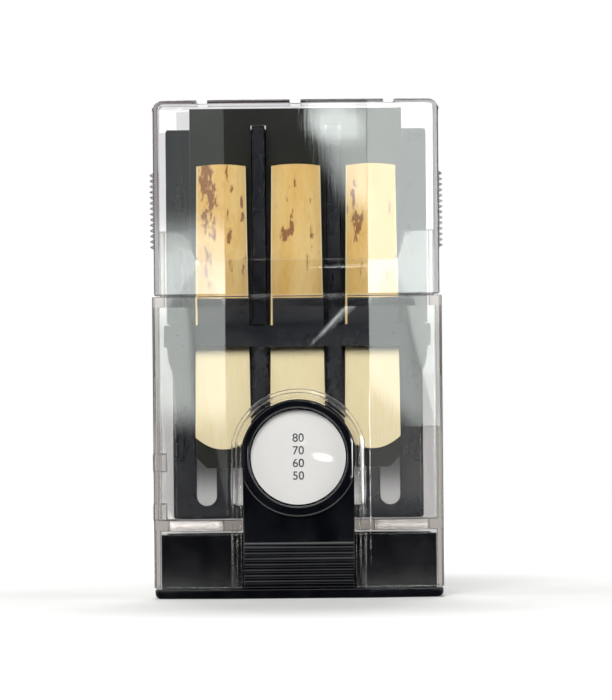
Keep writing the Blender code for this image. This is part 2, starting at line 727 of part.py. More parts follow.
def build_spine():
    """The black plate that carries both rows of reeds, with dividers, rails and vent slots."""
    spine = extruded("spine_plate", spine_outline(), -spine_face, spine_face, "Y")
    join(spine, *divider_boxes("divider", 0.0))
    for side in (-1, 1):
        near, far = side * rail_inside, side * rail_outside
        rail = box(f"rail_{side}", (min(near, far), -rail_front, reed_tip - RAIL_BELOW_TIP),
                   (max(near, far), rail_front, spine_top - RAIL_TOP_DROP))
        join(spine, rail)
    low, high = spine_bottom + SLOT_FOOT, clamp_bottom - SLOT_HEAD
    for bay in BAYS:
        for side in (-1, 1):
            x = bay * reed_pitch + side * (SLOT_WIDTH + SLOT_BAR) / 2
            slot = extruded(f"slot_{bay}_{side}", slot_outline(x, low, high, SLOT_WIDTH),
                            -spine_face - OVERRUN, spine_face + OVERRUN, "Y")
            cut(spine, slot)
    return spine


def build_bed():
    """The thin bed that a row of reeds lies on, slotted where the dividers pass through it."""
    low_half = rail_inside - BED_SHOULDER_WIDTH - BED_SIDE_MARGIN
    high_half = low_half + BED_SHOULDER_WIDTH
    shoulder = clamp_top + SHOULDER_RISE
    corners = [(-low_half + BED_CHAMFER, bed_bottom), (low_half - BED_CHAMFER, bed_bottom),
               (low_half, bed_bottom + BED_CHAMFER), (low_half, clamp_top), (high_half, shoulder),
               (high_half, bed_top), (-high_half, bed_top), (-high_half, shoulder),
               (-low_half, clamp_top), (-low_half, bed_bottom + BED_CHAMFER)]
    bed = extruded("front_reed_bed", corners, -bed_front, -bed_back, "Y")
    return cut(bed, *divider_boxes("bed_slot", SEAT_GAP))


def clamp_tongue_outline():
    """Side view of a clamp tongue in Y and Z: straight out of the bar, then flared outwards."""
    root = clamp_top - EMBED
    bend = clamp_top + CLAMP_TONGUE_STRAIGHT
    end = seam - CLAMP_TONGUE_END_GAP
    back = clamp_back + CLAMP_TONGUE_SETBACK
    front = back + CLAMP_TONGUE_THICKNESS
    return [(-front, root), (-back, root), (-back, bend), (-back - CLAMP_TONGUE_FLARE, end),
            (-front - CLAMP_TONGUE_FLARE, end), (-front, bend)]


def build_hook(side):
    """A small hook that curves down and inwards from one end of the clamp's bar."""
    curve = bpy.data.curves.new(f"hook_{side}", "CURVE")
    curve.dimensions = "3D"
    curve.bevel_depth = HOOK_RADIUS
    curve.bevel_resolution = 2
    curve.use_fill_caps = True
    spline = curve.splines.new("POLY")
    spline.points.add(CORNER_STEPS)
    start_x = clamp_half_length - HOOK_RADIUS - 2 * CLAMP_EDGE_RADIUS
    for step, point in enumerate(spline.points):
        angle = math.pi / 2 * step / CORNER_STEPS
        x = start_x - HOOK_INWARD * (1 - math.cos(angle))
        z = clamp_bottom + EMBED - (HOOK_DROP + EMBED) * math.sin(angle)
        point.co = (side * x, -(clamp_back + clamp_front) / 2, z, 1)
    return as_mesh(link(bpy.data.objects.new(f"hook_{side}", curve)))


def build_clamp():
    """The bar across a row of reeds, with a springy tongue for each reed and feet on the rails."""
    clamp = box("front_reed_clamp", (-clamp_half_length, -clamp_front, clamp_bottom),
                (clamp_half_length, -clamp_back, clamp_top))
    bevel = clamp.modifiers.new("edges", "BEVEL")
    bevel.width = CLAMP_EDGE_RADIUS
    bevel.segments = 2
    for bay in BAYS:
        x = bay * reed_pitch + CLAMP_TONGUE_SHIFT
        join(clamp, extruded(f"clamp_tongue_{bay}", clamp_tongue_outline(),
                             x - CLAMP_TONGUE_WIDTH / 2, x + CLAMP_TONGUE_WIDTH / 2, "X"))
    for side in (-1, 1):
        near, far = side * rail_inside, side * (rail_inside + CLAMP_FOOT_WIDTH)
        foot = box(f"clamp_foot_{side}",
                   (min(near, far), -clamp_back - EMBED, clamp_bottom + 2 * CLAMP_EDGE_RADIUS),
                   (max(near, far), -rail_front - SEAT_GAP, clamp_top - 2 * CLAMP_EDGE_RADIUS))
        join(clamp, foot, build_hook(side))
    return clamp


# Reeds

def build_reed():
    """One reed with its tip at the origin, flat back at y = 0, crowned front and sloping vamp."""
    bark_foot = REED_LENGTH - REED_BARK_LENGTH
    vamp_top = bark_foot - REED_VAMP_DROP_LENGTH
    side_view = [(0, 0), (0, REED_LENGTH), (-REED_BARK_THICKNESS, REED_LENGTH),
                 (-REED_BARK_THICKNESS, bark_foot), (-REED_VAMP_THICKNESS, vamp_top),
                 (-REED_TIP_THICKNESS, 0)]
    half_width = REED_TIP_WIDTH / 2 + OVERRUN
    reed = extruded("reed", side_view, -half_width, half_width, "X")

    tip_half, butt_half = REED_TIP_WIDTH / 2, REED_BUTT_WIDTH / 2
    plan = []
    for step in range(TIP_STEPS + 1):
        share = 1 - 2 * step / TIP_STEPS
        plan.append((-tip_half * share, REED_TIP_BULGE * share ** 2))
    for step in range(TIP_STEPS + 1):
        share = 1 - 2 * step / TIP_STEPS
        plan.append((butt_half * share, REED_LENGTH - REED_BUTT_BULGE * share ** 2))
    plan_solid = extruded("reed_plan", plan, -REED_BARK_THICKNESS - OVERRUN, OVERRUN, "Y")
    crown = cylinder("reed_crown", REED_CROWN_RADIUS, -OVERRUN, REED_LENGTH + OVERRUN,
                     REED_CROWN_RADIUS - REED_BARK_THICKNESS, CROWN_STEPS)
    return trim(reed, plan_solid, crown)


def empty(name, parent=None):
    """An empty that carries one body."""
    carrier = link(bpy.data.objects.new(name, None))
    carrier.parent = parent
    return carrier


def main():
    """Build every piece of the case."""
    start_scene()
    black = make_material("black_plastic", (0.012, 0.013, 0.018), 0.25)
    spine_black = make_material("navy_black_plastic", (0.016, 0.020, 0.030), 0.35)
    clear = make_material("clear_plastic", (0.86, 0.83, 0.85), 0.08, transmission=0.9)
    bed_grey = make_material("bed_grey", (0.030, 0.031, 0.028), 0.5)
    cane = make_material("reed_cane", (0.78, 0.62, 0.35), 0.5)
    white = make_material("indicator_white", (0.73, 0.72, 0.70), 0.5)
    foam = make_material("sponge_foam", (0.55, 0.60, 0.62), 0.9)

    base = empty("humidifier_base")
    case_body = empty("case_body", base)
    lid = empty("lid", case_body)

    finish(build_tank(), black, base)
    finish(build_sponge(), foam, base)
    finish(build_grille(), black, base)
    finish(build_tongue(), black, base)
    bezel, seat = build_bezel()
    finish(bezel, black, base, smooth=True)
    disc, lens = build_indicator(seat)
    finish(disc, white, base)
    finish(lens, clear, base, smooth=True)

    finish(build_body_shell(), clear, case_body)
    finish(build_spine(), spine_black, case_body)
    bed = finish(build_bed(), bed_grey, case_body)
    finish(placed("rear_reed_bed", baked(bed), (0, 0, 0), math.pi), bed_grey, case_body)
    clamp = finish(build_clamp(), spine_black, case_body)
    finish(placed("rear_reed_clamp", baked(clamp), (0, 0, 0), math.pi), spine_black, case_body)

    finish(build_lid(), clear, lid)

    template = build_reed()
    reed_mesh = baked(template)
    bpy.data.objects.remove(template, do_unlink=True)
    for row, facing, turn in (("front", -1, 0.0), ("rear", 1, math.pi)):
        for index, bay in enumerate(BAYS):
            reed = placed(f"{row}_reed_{index + 1}", reed_mesh,
                          (bay * reed_pitch, facing * reed_back, reed_tip), turn)
            finish(reed, cane, case_body)


main()
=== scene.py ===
"""Looks of a double-sided reed case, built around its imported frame.

A clear faceted body and lid stand over a black humidifier base. Inside, a black spine carries six
cane reeds under clamps with springy tongues. Most pieces keep the frame's shapes and get rounded
edges here. The reeds and the indicator are surfaces worked out anew.

Metres, +Z up, the front faces -Y.
"""

from __future__ import annotations

import logging
import math
from collections.abc import Mapping, Sequence
from dataclasses import dataclass, field
from enum import Enum

import bmesh
import bpy
import numpy as np
from mathutils import Matrix, Vector

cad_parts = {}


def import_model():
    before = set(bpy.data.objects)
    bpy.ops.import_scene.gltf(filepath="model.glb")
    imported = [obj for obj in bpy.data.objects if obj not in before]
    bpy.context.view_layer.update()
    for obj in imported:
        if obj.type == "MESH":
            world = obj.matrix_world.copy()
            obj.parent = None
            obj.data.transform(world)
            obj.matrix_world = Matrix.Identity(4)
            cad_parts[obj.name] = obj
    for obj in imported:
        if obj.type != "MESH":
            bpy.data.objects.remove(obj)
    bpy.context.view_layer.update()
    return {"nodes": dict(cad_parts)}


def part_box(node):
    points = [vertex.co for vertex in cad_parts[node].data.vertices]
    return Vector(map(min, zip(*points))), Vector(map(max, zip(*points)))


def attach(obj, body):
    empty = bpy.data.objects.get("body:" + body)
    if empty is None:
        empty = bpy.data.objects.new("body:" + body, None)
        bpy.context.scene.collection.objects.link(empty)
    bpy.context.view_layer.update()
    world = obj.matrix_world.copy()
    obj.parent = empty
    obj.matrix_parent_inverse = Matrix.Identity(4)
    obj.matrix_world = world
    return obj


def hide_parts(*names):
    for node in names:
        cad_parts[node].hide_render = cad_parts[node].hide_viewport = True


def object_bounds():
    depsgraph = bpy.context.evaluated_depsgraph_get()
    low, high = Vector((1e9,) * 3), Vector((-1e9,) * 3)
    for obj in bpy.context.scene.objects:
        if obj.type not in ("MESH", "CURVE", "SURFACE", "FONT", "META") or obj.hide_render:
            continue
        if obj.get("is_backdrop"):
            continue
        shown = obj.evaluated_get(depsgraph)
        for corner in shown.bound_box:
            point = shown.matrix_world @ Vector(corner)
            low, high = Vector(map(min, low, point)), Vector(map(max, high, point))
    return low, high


LOG = logging.getLogger("reed_case")

MM = 0.001
WELD = 0.001 * MM

Color = tuple[float, float, float]
Feeds = Mapping[str | int, object]
Node = bpy.types.Node
Socket = bpy.types.NodeSocket
Thing = bpy.types.Object

WHITE: Color = (1.0, 1.0, 1.0)
CASE_MIDDLE: Color = (0.0, 0.0, 0.058)


class Body(Enum):
    """The bodies of the frame that pieces ride on."""

    BASE = "base"
    CASE = "case_body"
    LID = "lid"


class Slot(Enum):
    """The record's material slots."""

    GLOSS_BLACK = "black_plastic"
    SATIN_BLACK = "navy_black_plastic"
    CLEAR = "clear_plastic"
    BED = "bed_grey"
    CANE = "reed_cane"
    CARD = "indicator_card"
    FOAM = "sponge_foam"


# Shader nodes

class Graph:
    """Writes the nodes of a material or of the world."""

    def __init__(self, tree: bpy.types.NodeTree) -> None:
        """Take over a node tree and empty it.

        Args:
            tree: the material's or the world's tree.
        """
        self.tree = tree
        tree.nodes.clear()

    def feed(self, socket: Socket, value: object) -> None:
        """Link a socket to an output, or set its constant.

        Args:
            socket: the input to fill.
            value: an output socket, a node whose first output is meant, a colour or a number.
        """
        if isinstance(value, Node):
            value = value.outputs[0]
        if isinstance(value, Socket):
            self.tree.links.new(value, socket)
        elif isinstance(value, tuple) and len(value) == 3 and socket.type == "RGBA":
            socket.default_value = (*value, 1.0)
        else:
            socket.default_value = value

    def add(self, kind: str, feeds: Feeds | None = None, **settings: object) -> Node:
        """Add a node, set its options and fill its inputs.

        Args:
            kind: Blender's name for the node's class, without the ShaderNode that it starts with.
            feeds: what goes into which input. None leaves the input as it is.
            settings: the node's own options.

        Returns:
            The new node.
        """
        node = self.tree.nodes.new("ShaderNode" + kind)
        for name, value in settings.items():
            setattr(node, name, value)
        for key, value in (feeds or {}).items():
            if value is not None:
                self.feed(node.inputs[key], value)
        return node

    def parts(self, kind: str) -> Sequence[Socket]:
        """The x, y and z of one of the Texture Coordinate node's outputs.

        Args:
            kind: the output's name.

        Returns:
            The three numbers.
        """
        coords = self.add("TexCoord").outputs[kind]
        return tuple(self.add("SeparateXYZ", {0: coords}).outputs)

    def place(self, scale: Color = (1.0, 1.0, 1.0), shift: Color = (0.0, 0.0, 0.0)) -> Node:
        """The piece's own coordinates, stretched and shifted.

        Args:
            scale: how many pattern units fit in a metre along each axis.
            shift: what is added after the stretch.

        Returns:
            A Mapping node.
        """
        coords = self.add("TexCoord").outputs["Object"]
        return self.add("Mapping", {"Vector": coords, "Scale": scale, "Location": shift})

    def noise(self, scale: float | Color, detail: float = 2.0, rough: float = 0.5,
              seed: float = 0.0) -> Socket:
        """Fractal noise over the piece's own coordinates.

        Args:
            scale: features per metre, in every direction or along each axis.
            detail: how many octaves.
            rough: how strong the fine octaves are.
            seed: a shift, another along each axis, that gives another pattern.

        Returns:
            The noise as a number from 0 to 1.
        """
        scales = scale if isinstance(scale, tuple) else (scale,) * 3
        at = self.place(scales, (seed, 1.7 * seed, -0.6 * seed))
        return self.add("TexNoise", {"Vector": at, "Scale": 1.0, "Detail": detail,
                                     "Roughness": rough}).outputs["Fac"]

    def calc(self, operation: str, a: object, b: object = 0.0) -> Socket:
        """One step of arithmetic.

        Args:
            operation: the Math node's operation.
            a: its first number.
            b: its second number.

        Returns:
            The result.
        """
        return self.add("Math", {0: a, 1: b}, operation=operation).outputs[0]

    def fade(self, value: object, low: float, high: float, bottom: float = 0.0,
             top: float = 1.0) -> Socket:
        """A smooth step from bottom to top as value goes from low to high.

        Args:
            value: what is read.
            low: where the step starts.
            high: where it ends.
            bottom: the result before it.
            top: the result after it.

        Returns:
            The faded number.
        """
        node = self.add("MapRange", {"Value": value, "From Min": low, "From Max": high,
                                     "To Min": bottom, "To Max": top},
                        interpolation_type="SMOOTHSTEP")
        return node.outputs["Result"]

    def blend(self, share: object, first: object, second: object) -> Socket:
        """A colour between two, by a share from 0 to 1.

        Args:
            share: how much of the second colour.
            first: the colour at 0.
            second: the colour at 1.

        Returns:
            The mixed colour.
        """
        node = self.add("Mix", {0: share, 6: first, 7: second}, data_type="RGBA")
        return node.outputs[2]

    def choose(self, switch: object, off: object, on: object) -> Socket:
        """A number between two, by a share from 0 to 1.

        Args:
            switch: how much of the second number.
            off: the number at 0.
            on: the number at 1.

        Returns:
            The mixed number.
        """
        node = self.add("Mix", {0: switch, 2: off, 3: on}, data_type="FLOAT")
        return node.outputs[0]

    def bump(self, height: object, distance: float, onto: object = None) -> Socket:
        """Turn a height pattern into a normal.

        Args:
            height: the pattern from 0 to 1.
            distance: how high 1 stands, in metres.
            onto: a normal that it adds to.

        Returns:
            The bumped normal.
        """
        return self.add("Bump", {"Height": height, "Distance": distance, "Strength": 1.0,
                                 "Normal": onto}).outputs["Normal"]

    def surface(self, shader: object, volume: object = None) -> None:
        """End the tree in an output.

        Args:
            shader: what the surface shows.
            volume: what fills the piece.
        """
        self.add("OutputMaterial", {"Surface": shader, "Volume": volume})

    def coat(self, feeds: Feeds) -> None:
        """End the tree in a Principled shader.

        Args:
            feeds: what goes into which of its inputs.
        """
        self.surface(self.add("BsdfPrincipled", feeds))


def new_material(name: str) -> tuple[bpy.types.Material, Graph]:
    """Make a material with an empty graph.

    Args:
        name: the material's name.

    Returns:
        The material and its graph.
    """
    material = bpy.data.materials.new(name)
    material.use_nodes = True
    return material, Graph(material.node_tree)


# Finishes

@dataclass(frozen=True)
class Finish:
    """A material that is written once and shared by the pieces that wear it."""

    name: str

    def write(self, graph: Graph) -> None:
        """Write the finish's nodes.

        Args:
            graph: the material's graph.
        """
        raise NotImplementedError

    def material(self) -> bpy.types.Material:
        """The finished material, made the first time that it is asked for.

        Returns:
            Blender's material of this name.
        """
        found = bpy.data.materials.get(self.name)
        if found is None:
            found, graph = new_material(self.name)
            self.write(graph)
        return found


@dataclass(frozen=True)
class ClearPlastic(Finish):
    """Clear moulded plastic, faintly wavy, that takes on its tint along its walls."""

    tint: Color
    density: float = 100.0
    index: float = 1.5
    streaks: Color = (900.0, 900.0, 90.0)
    streak_height: float = 1.5e-6
    swell: Color = (70.0, 70.0, 45.0)
    swell_height: float = 1.0e-5

    def write(self, graph: Graph) -> None:
        """Glass-like shader with faint waves, and a tint that grows with the way through it.

        Args:
            graph: the material's graph.
        """
        broad = graph.bump(graph.noise(self.swell, 1.0), self.swell_height)
        normal = graph.bump(graph.noise(self.streaks, 2.0), self.streak_height, broad)
        haze = graph.noise(420.0, 4.0, 0.6, seed=3.0)
        shader = graph.add("BsdfPrincipled", {
            "Base Color": graph.blend(haze, (0.985, 0.983, 0.986), (0.995, 0.995, 0.994)),
            "Roughness": 0.0, "IOR": self.index, "Transmission Weight": 1.0, "Normal": normal})
        through = graph.add("BsdfTransparent", {"Color": (0.99, 0.989, 0.99)})
        path = graph.add("LightPath")
        both = graph.add("MixShader", {0: path.outputs["Is Shadow Ray"], 1: shader, 2: through})
        body = graph.add("VolumeAbsorption", {"Color": self.tint, "Density": self.density})
        graph.surface(both, body)


@dataclass(frozen=True)
class BlackPlastic(Finish):
    """Black moulded plastic, from gloss to satin, with a fine mould texture."""

    dark: Color
    light: Color
    smooth: float
    coarse: float
    grain: float = 9000.0
    grain_height: float = 1.2e-6
    swell_height: float = 1.5e-5

    def write(self, graph: Graph) -> None:
        """Dark shader whose tone and gloss drift, over a fine grain.

        Args:
            graph: the material's graph.
        """
        drift = graph.noise((160.0, 160.0, 110.0), 3.0, 0.55)
        fine = graph.noise(self.grain, 2.0)
        wide = graph.bump(graph.noise(60.0, 1.0, seed=5.0), self.swell_height)
        graph.coat({
            "Base Color": graph.blend(graph.fade(drift, 0.3, 0.7), self.dark, self.light),
            "Roughness": graph.fade(drift, 0.25, 0.75, self.smooth, self.coarse),
            "Normal": graph.bump(fine, self.grain_height, wide)})


@dataclass(frozen=True)
class DarkSheet(Finish):
    """A thin dark sheet with a pale cut edge."""

    face: Color = (0.013, 0.014, 0.0115)
    worn: Color = (0.020, 0.021, 0.0175)
    edge: Color = (0.50, 0.47, 0.38)

    def write(self, graph: Graph) -> None:
        """Matte shader, dark where the sheet faces forward or back and pale on its narrow edges.

        Args:
            graph: the material's graph.
        """
        flat = graph.fade(graph.calc("ABSOLUTE", graph.parts("Normal")[1]), 0.55, 0.85)
        mottle = graph.noise(1500.0, 3.0, 0.6)
        tone = graph.blend(mottle, self.face, self.worn)
        graph.coat({
            "Base Color": graph.blend(flat, self.edge, tone), "Roughness": 0.62,
            "Specular IOR Level": 0.35,
            "Normal": graph.bump(graph.noise(5200.0, 2.0), 4.0e-6)})


@dataclass(frozen=True)
class Cane(Finish):
    """Reed cane: mottled bark at the butt, pale cut cane along the vamp."""

    seed: float
    bark: Color = (0.78, 0.485, 0.125)
    bark_light: Color = (0.86, 0.62, 0.235)
    spot: Color = (0.24, 0.085, 0.035)
    vamp: Color = (0.88, 0.75, 0.43)
    vamp_light: Color = (0.93, 0.83, 0.54)

    def write(self, graph: Graph) -> None:
        """Bark above the cut and bare fibres below it, by the surface's own attributes.

        The bark is clouded, streaked with fibres and mottled, and has spots where the spotted
        attribute crowds them.

        Args:
            graph: the material's graph.
        """
        bark_share = graph.add("Attribute", attribute_name="bark").outputs["Fac"]
        spotted = graph.add("Attribute", attribute_name="spotted").outputs["Fac"]
        cloud = graph.noise((260.0, 260.0, 60.0), 4.0, 0.6, self.seed)
        fibre = graph.noise((3800.0, 3800.0, 55.0), 3.0, 0.55, self.seed + 1.0)
        bark_tone = graph.blend(graph.fade(cloud, 0.3, 0.7), self.bark, self.bark_light)
        mottle = graph.noise((1300.0, 1300.0, 520.0), 4.0, 0.6, self.seed + 5.0)
        fleck = graph.noise((1450.0, 1450.0, 520.0), 6.0, 0.62, self.seed + 9.0)
        crowd = graph.calc("ADD", fleck, graph.calc("MULTIPLY", spotted, 0.33))
        for share, laid_over in ((graph.fade(fibre, 0.35, 0.8, 0.0, 0.12), self.vamp_light),
                                 (graph.fade(mottle, 0.53, 0.70, 0.0, 0.16), self.spot),
                                 (graph.fade(mottle, 0.30, 0.46, 0.22, 0.0), self.bark_light),
                                 (graph.fade(crowd, 0.62, 0.78, 0.0, 0.34), self.spot),
                                 (graph.fade(crowd, 0.715, 0.775, 0.0, 0.82), self.spot)):
            bark_tone = graph.blend(share, bark_tone, laid_over)
        vamp_tone = graph.blend(graph.fade(fibre, 0.25, 0.75), self.vamp, self.vamp_light)
        vamp_tone = graph.blend(graph.fade(cloud, 0.35, 0.7, 0.0, 0.4), vamp_tone, self.vamp_light)
        tone = graph.blend(bark_share, vamp_tone, bark_tone)
        gloss = graph.fade(bark_share, 0.0, 1.0, 0.62, 0.36)
        height = graph.bump(fibre, 1.1e-5)
        graph.coat({
            "Base Color": tone, "Roughness": gloss,
            "Normal": graph.bump(fleck, 8.0e-6, height)})


@dataclass(frozen=True)
class PaleCard(Finish):
    """Off-white indicator card with a faint tooth."""

    face: Color = (0.78, 0.765, 0.725)
    shade: Color = (0.74, 0.725, 0.685)

    def write(self, graph: Graph) -> None:
        """Matte pale shader with a soft mottle.

        Args:
            graph: the material's graph.
        """
        mottle = graph.noise(700.0, 4.0, 0.65)
        graph.coat({
            "Base Color": graph.blend(mottle, self.shade, self.face), "Roughness": 0.7,
            "Specular IOR Level": 0.3,
            "Normal": graph.bump(graph.noise(6000.0, 2.0), 3.0e-6)})


@dataclass(frozen=True)
class Ink(Finish):
    """Dark printing ink."""

    full: Color = (0.030, 0.030, 0.030)
    thin: Color = (0.060, 0.060, 0.058)

    def write(self, graph: Graph) -> None:
        """Matte dark shader, a little uneven as print is.

        Args:
            graph: the material's graph.
        """
        uneven = graph.noise(3500.0, 3.0)
        graph.coat({"Base Color": graph.blend(uneven, self.full, self.thin), "Roughness": 0.6})


@dataclass(frozen=True)
class Foam(Finish):
    """Damp open-cell foam."""

    cell: Color = (0.18, 0.22, 0.24)
    rib: Color = (0.55, 0.60, 0.62)
    cells_per_metre: float = 1400.0
    cell_depth: float = 2.5e-4

    def write(self, graph: Graph) -> None:
        """Rough shader full of small dark cells.

        Args:
            graph: the material's graph.
        """
        cells = graph.add("TexVoronoi",
                          {"Vector": graph.place((self.cells_per_metre,) * 3), "Scale": 1.0})
        wall = graph.fade(cells.outputs["Distance"], 0.15, 0.6)
        graph.coat({
            "Base Color": graph.blend(wall, self.cell, self.rib), "Roughness": 0.9,
            "Normal": graph.bump(wall, self.cell_depth)})


LID_CLEAR = ClearPlastic("lid_clear", tint=(0.24, 0.175, 0.23))
BODY_CLEAR = ClearPlastic("body_clear", tint=(0.665, 0.62, 0.575))
LENS_CLEAR = ClearPlastic("lens_clear", tint=(0.90, 0.90, 0.90), index=1.25, streak_height=0.2e-6)
GLOSS_BLACK = BlackPlastic("gloss_black", dark=(0.0015, 0.0017, 0.0027),
                           light=(0.0032, 0.0035, 0.0050), smooth=0.03, coarse=0.08)
SATIN_BLACK = BlackPlastic("satin_black", dark=(0.0020, 0.0028, 0.0054),
                           light=(0.0040, 0.0050, 0.0084), smooth=0.19, coarse=0.30)
BED_SHEET = DarkSheet("bed_sheet")
INDICATOR_CARD = PaleCard("indicator_card")
INK = Ink("printing_ink")
FOAM = Foam("damp_foam")


# Meshes

def grid_faces(rows: int, columns: int) -> np.ndarray:
    """The quads of a grid of points that is numbered row by row and closed on itself sideways.

    Args:
        rows: how many rows of points.
        columns: how many points in a row.

    Returns:
        One row of four point numbers a quad: (r, c), (r, c+1), (r+1, c+1), (r+1, c).
    """
    row = np.arange(rows - 1)[:, None]
    column = np.arange(columns)[None, :]
    here = row * columns + column
    right = row * columns + (column + 1) % columns
    return np.stack([here, right, right + columns, here + columns], axis=-1).reshape(-1, 4)


def ring_cap(first: int, columns: int) -> np.ndarray:
    """The quads that close a ring whose second half runs back beside its first.

    Args:
        first: the number of the ring's first point.
        columns: how many points are in the ring.

    Returns:
        One row of four point numbers a quad: point i and i+1 with their partners from the far end.
    """
    near = np.arange(columns // 2 - 1)
    far = columns - 1 - near
    return first + np.stack([near, near + 1, far - 1, far], axis=-1)


def link_new(name: str, data: bpy.types.ID) -> Thing:
    """Make an object at the origin and link it to the scene.

    Args:
        name: the object's name.
        data: its mesh, text, lamp or camera.

    Returns:
        The new object.
    """
    thing = bpy.data.objects.new(name, data)
    bpy.context.scene.collection.objects.link(thing)
    return thing


def new_mesh(name: str, points: np.ndarray, faces: np.ndarray, poles: bool = True) -> Thing:
    """Make a mesh out of points and faces, turn its faces outwards and put it in an object.

    Args:
        name: the object's name.
        points: one row of x, y, z a point.
        faces: one row of point numbers a face.
        poles: whether points that fall together are welded.

    Returns:
        The new object.
    """
    mesh = bpy.data.meshes.new(name)
    mesh.from_pydata(points.reshape(-1, 3).tolist(), [], faces.tolist())
    work = bmesh.new()
    work.from_mesh(mesh)
    if poles:
        bmesh.ops.remove_doubles(work, verts=work.verts, dist=WELD)
        bmesh.ops.dissolve_degenerate(work, edges=work.edges, dist=WELD / 2)
    bmesh.ops.recalc_face_normals(work, faces=work.faces)
    work.to_mesh(mesh)
    work.free()
    return link_new(name, mesh)


@dataclass(frozen=True)
class EdgeRound:
    """How the edges of a frame node's copy are rounded."""

    width: float
    segments: int = 2
    weld: float = 2 * WELD
    flat: float = math.radians(0.6)
    sharp: float = math.radians(38.0)
    bend: float = math.radians(5.0)
    broad: float = 30.0 * MM ** 2
    lips: Sequence[tuple[float, float]] = ()
    crisp: Sequence[tuple[float, float]] = ()
    lip_share: float = 2.0
    bend_share: float = 0.3
    broad_weight: int = 90

    def copy(self, node: Thing, name: str) -> Thing:
        """Copy a node, weld its triangles into whole faces and round its sharp edges.

        An edge is rounded where it is sharp, or, bend_share times as widely, where two broad faces
        meet at a slight bend. Between the two heights of a lip it is rounded lip_share times as
        widely. Between those of a crisp zone it isn't rounded, and is shaded sharp if it bends.
        Last, faces with a hollow outline are split into bulging ones.

        Args:
            node: the frame's node.
            name: the new piece's name.

        Returns:
            The new piece, with live Bevel and Weighted Normal modifiers.
        """
        work = bmesh.new()
        work.from_mesh(node.data)
        bmesh.ops.remove_doubles(work, verts=work.verts, dist=self.weld)
        bmesh.ops.dissolve_limit(work, angle_limit=self.flat, verts=work.verts,
                                 edges=work.edges, use_dissolve_boundaries=False)
        rounding = work.edges.layers.float.new("bevel_weight_edge")
        for face in work.faces:
            face.smooth = True
        for edge in work.edges:
            turn = abs(edge.calc_face_angle(0.0))
            area = min(face.calc_area() for face in edge.link_faces)
            height = (edge.verts[0].co.z + edge.verts[1].co.z) / 2
            if any(low < height < high for low, high in self.crisp):
                edge.smooth = turn < self.bend
                continue
            if turn > self.sharp:
                in_lip = any(low < height < high for low, high in self.lips)
                edge[rounding] = 1.0 if in_lip else 1.0 / self.lip_share
            elif turn > self.bend and area > self.broad:
                edge[rounding] = self.bend_share / self.lip_share
        bmesh.ops.connect_verts_concave(work, faces=work.faces)
        mesh = bpy.data.meshes.new(name)
        work.to_mesh(mesh)
        work.free()
        piece = link_new(name, mesh)
        bevel = piece.modifiers.new("edges", "BEVEL")
        bevel.width = self.width * self.lip_share
        bevel.segments = self.segments
        bevel.limit_method = "WEIGHT"
        bevel.use_clamp_overlap = False
        shading = piece.modifiers.new("shading", "WEIGHTED_NORMAL")
        shading.weight = self.broad_weight
        shading.keep_sharp = True
        return piece


def seat(piece: Thing, finish: Finish, body: str, slot: Slot, *nodes: str) -> None:
    """Dress a piece and put it in its place in the frame.

    Args:
        piece: the finished mesh, at the origin.
        finish: what it wears.
        body: the frame's body that it rides on.
        slot: the record's slot that its finish comes from; not used.
        nodes: the frame's nodes that it stands for.
    """
    piece.data.materials.clear()
    piece.data.materials.append(finish.material())
    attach(piece, body)
    if nodes:
        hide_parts(*nodes)
    LOG.info("%s rides on %s and wears %s", piece.name, body, finish.name)


# Sub-assemblies

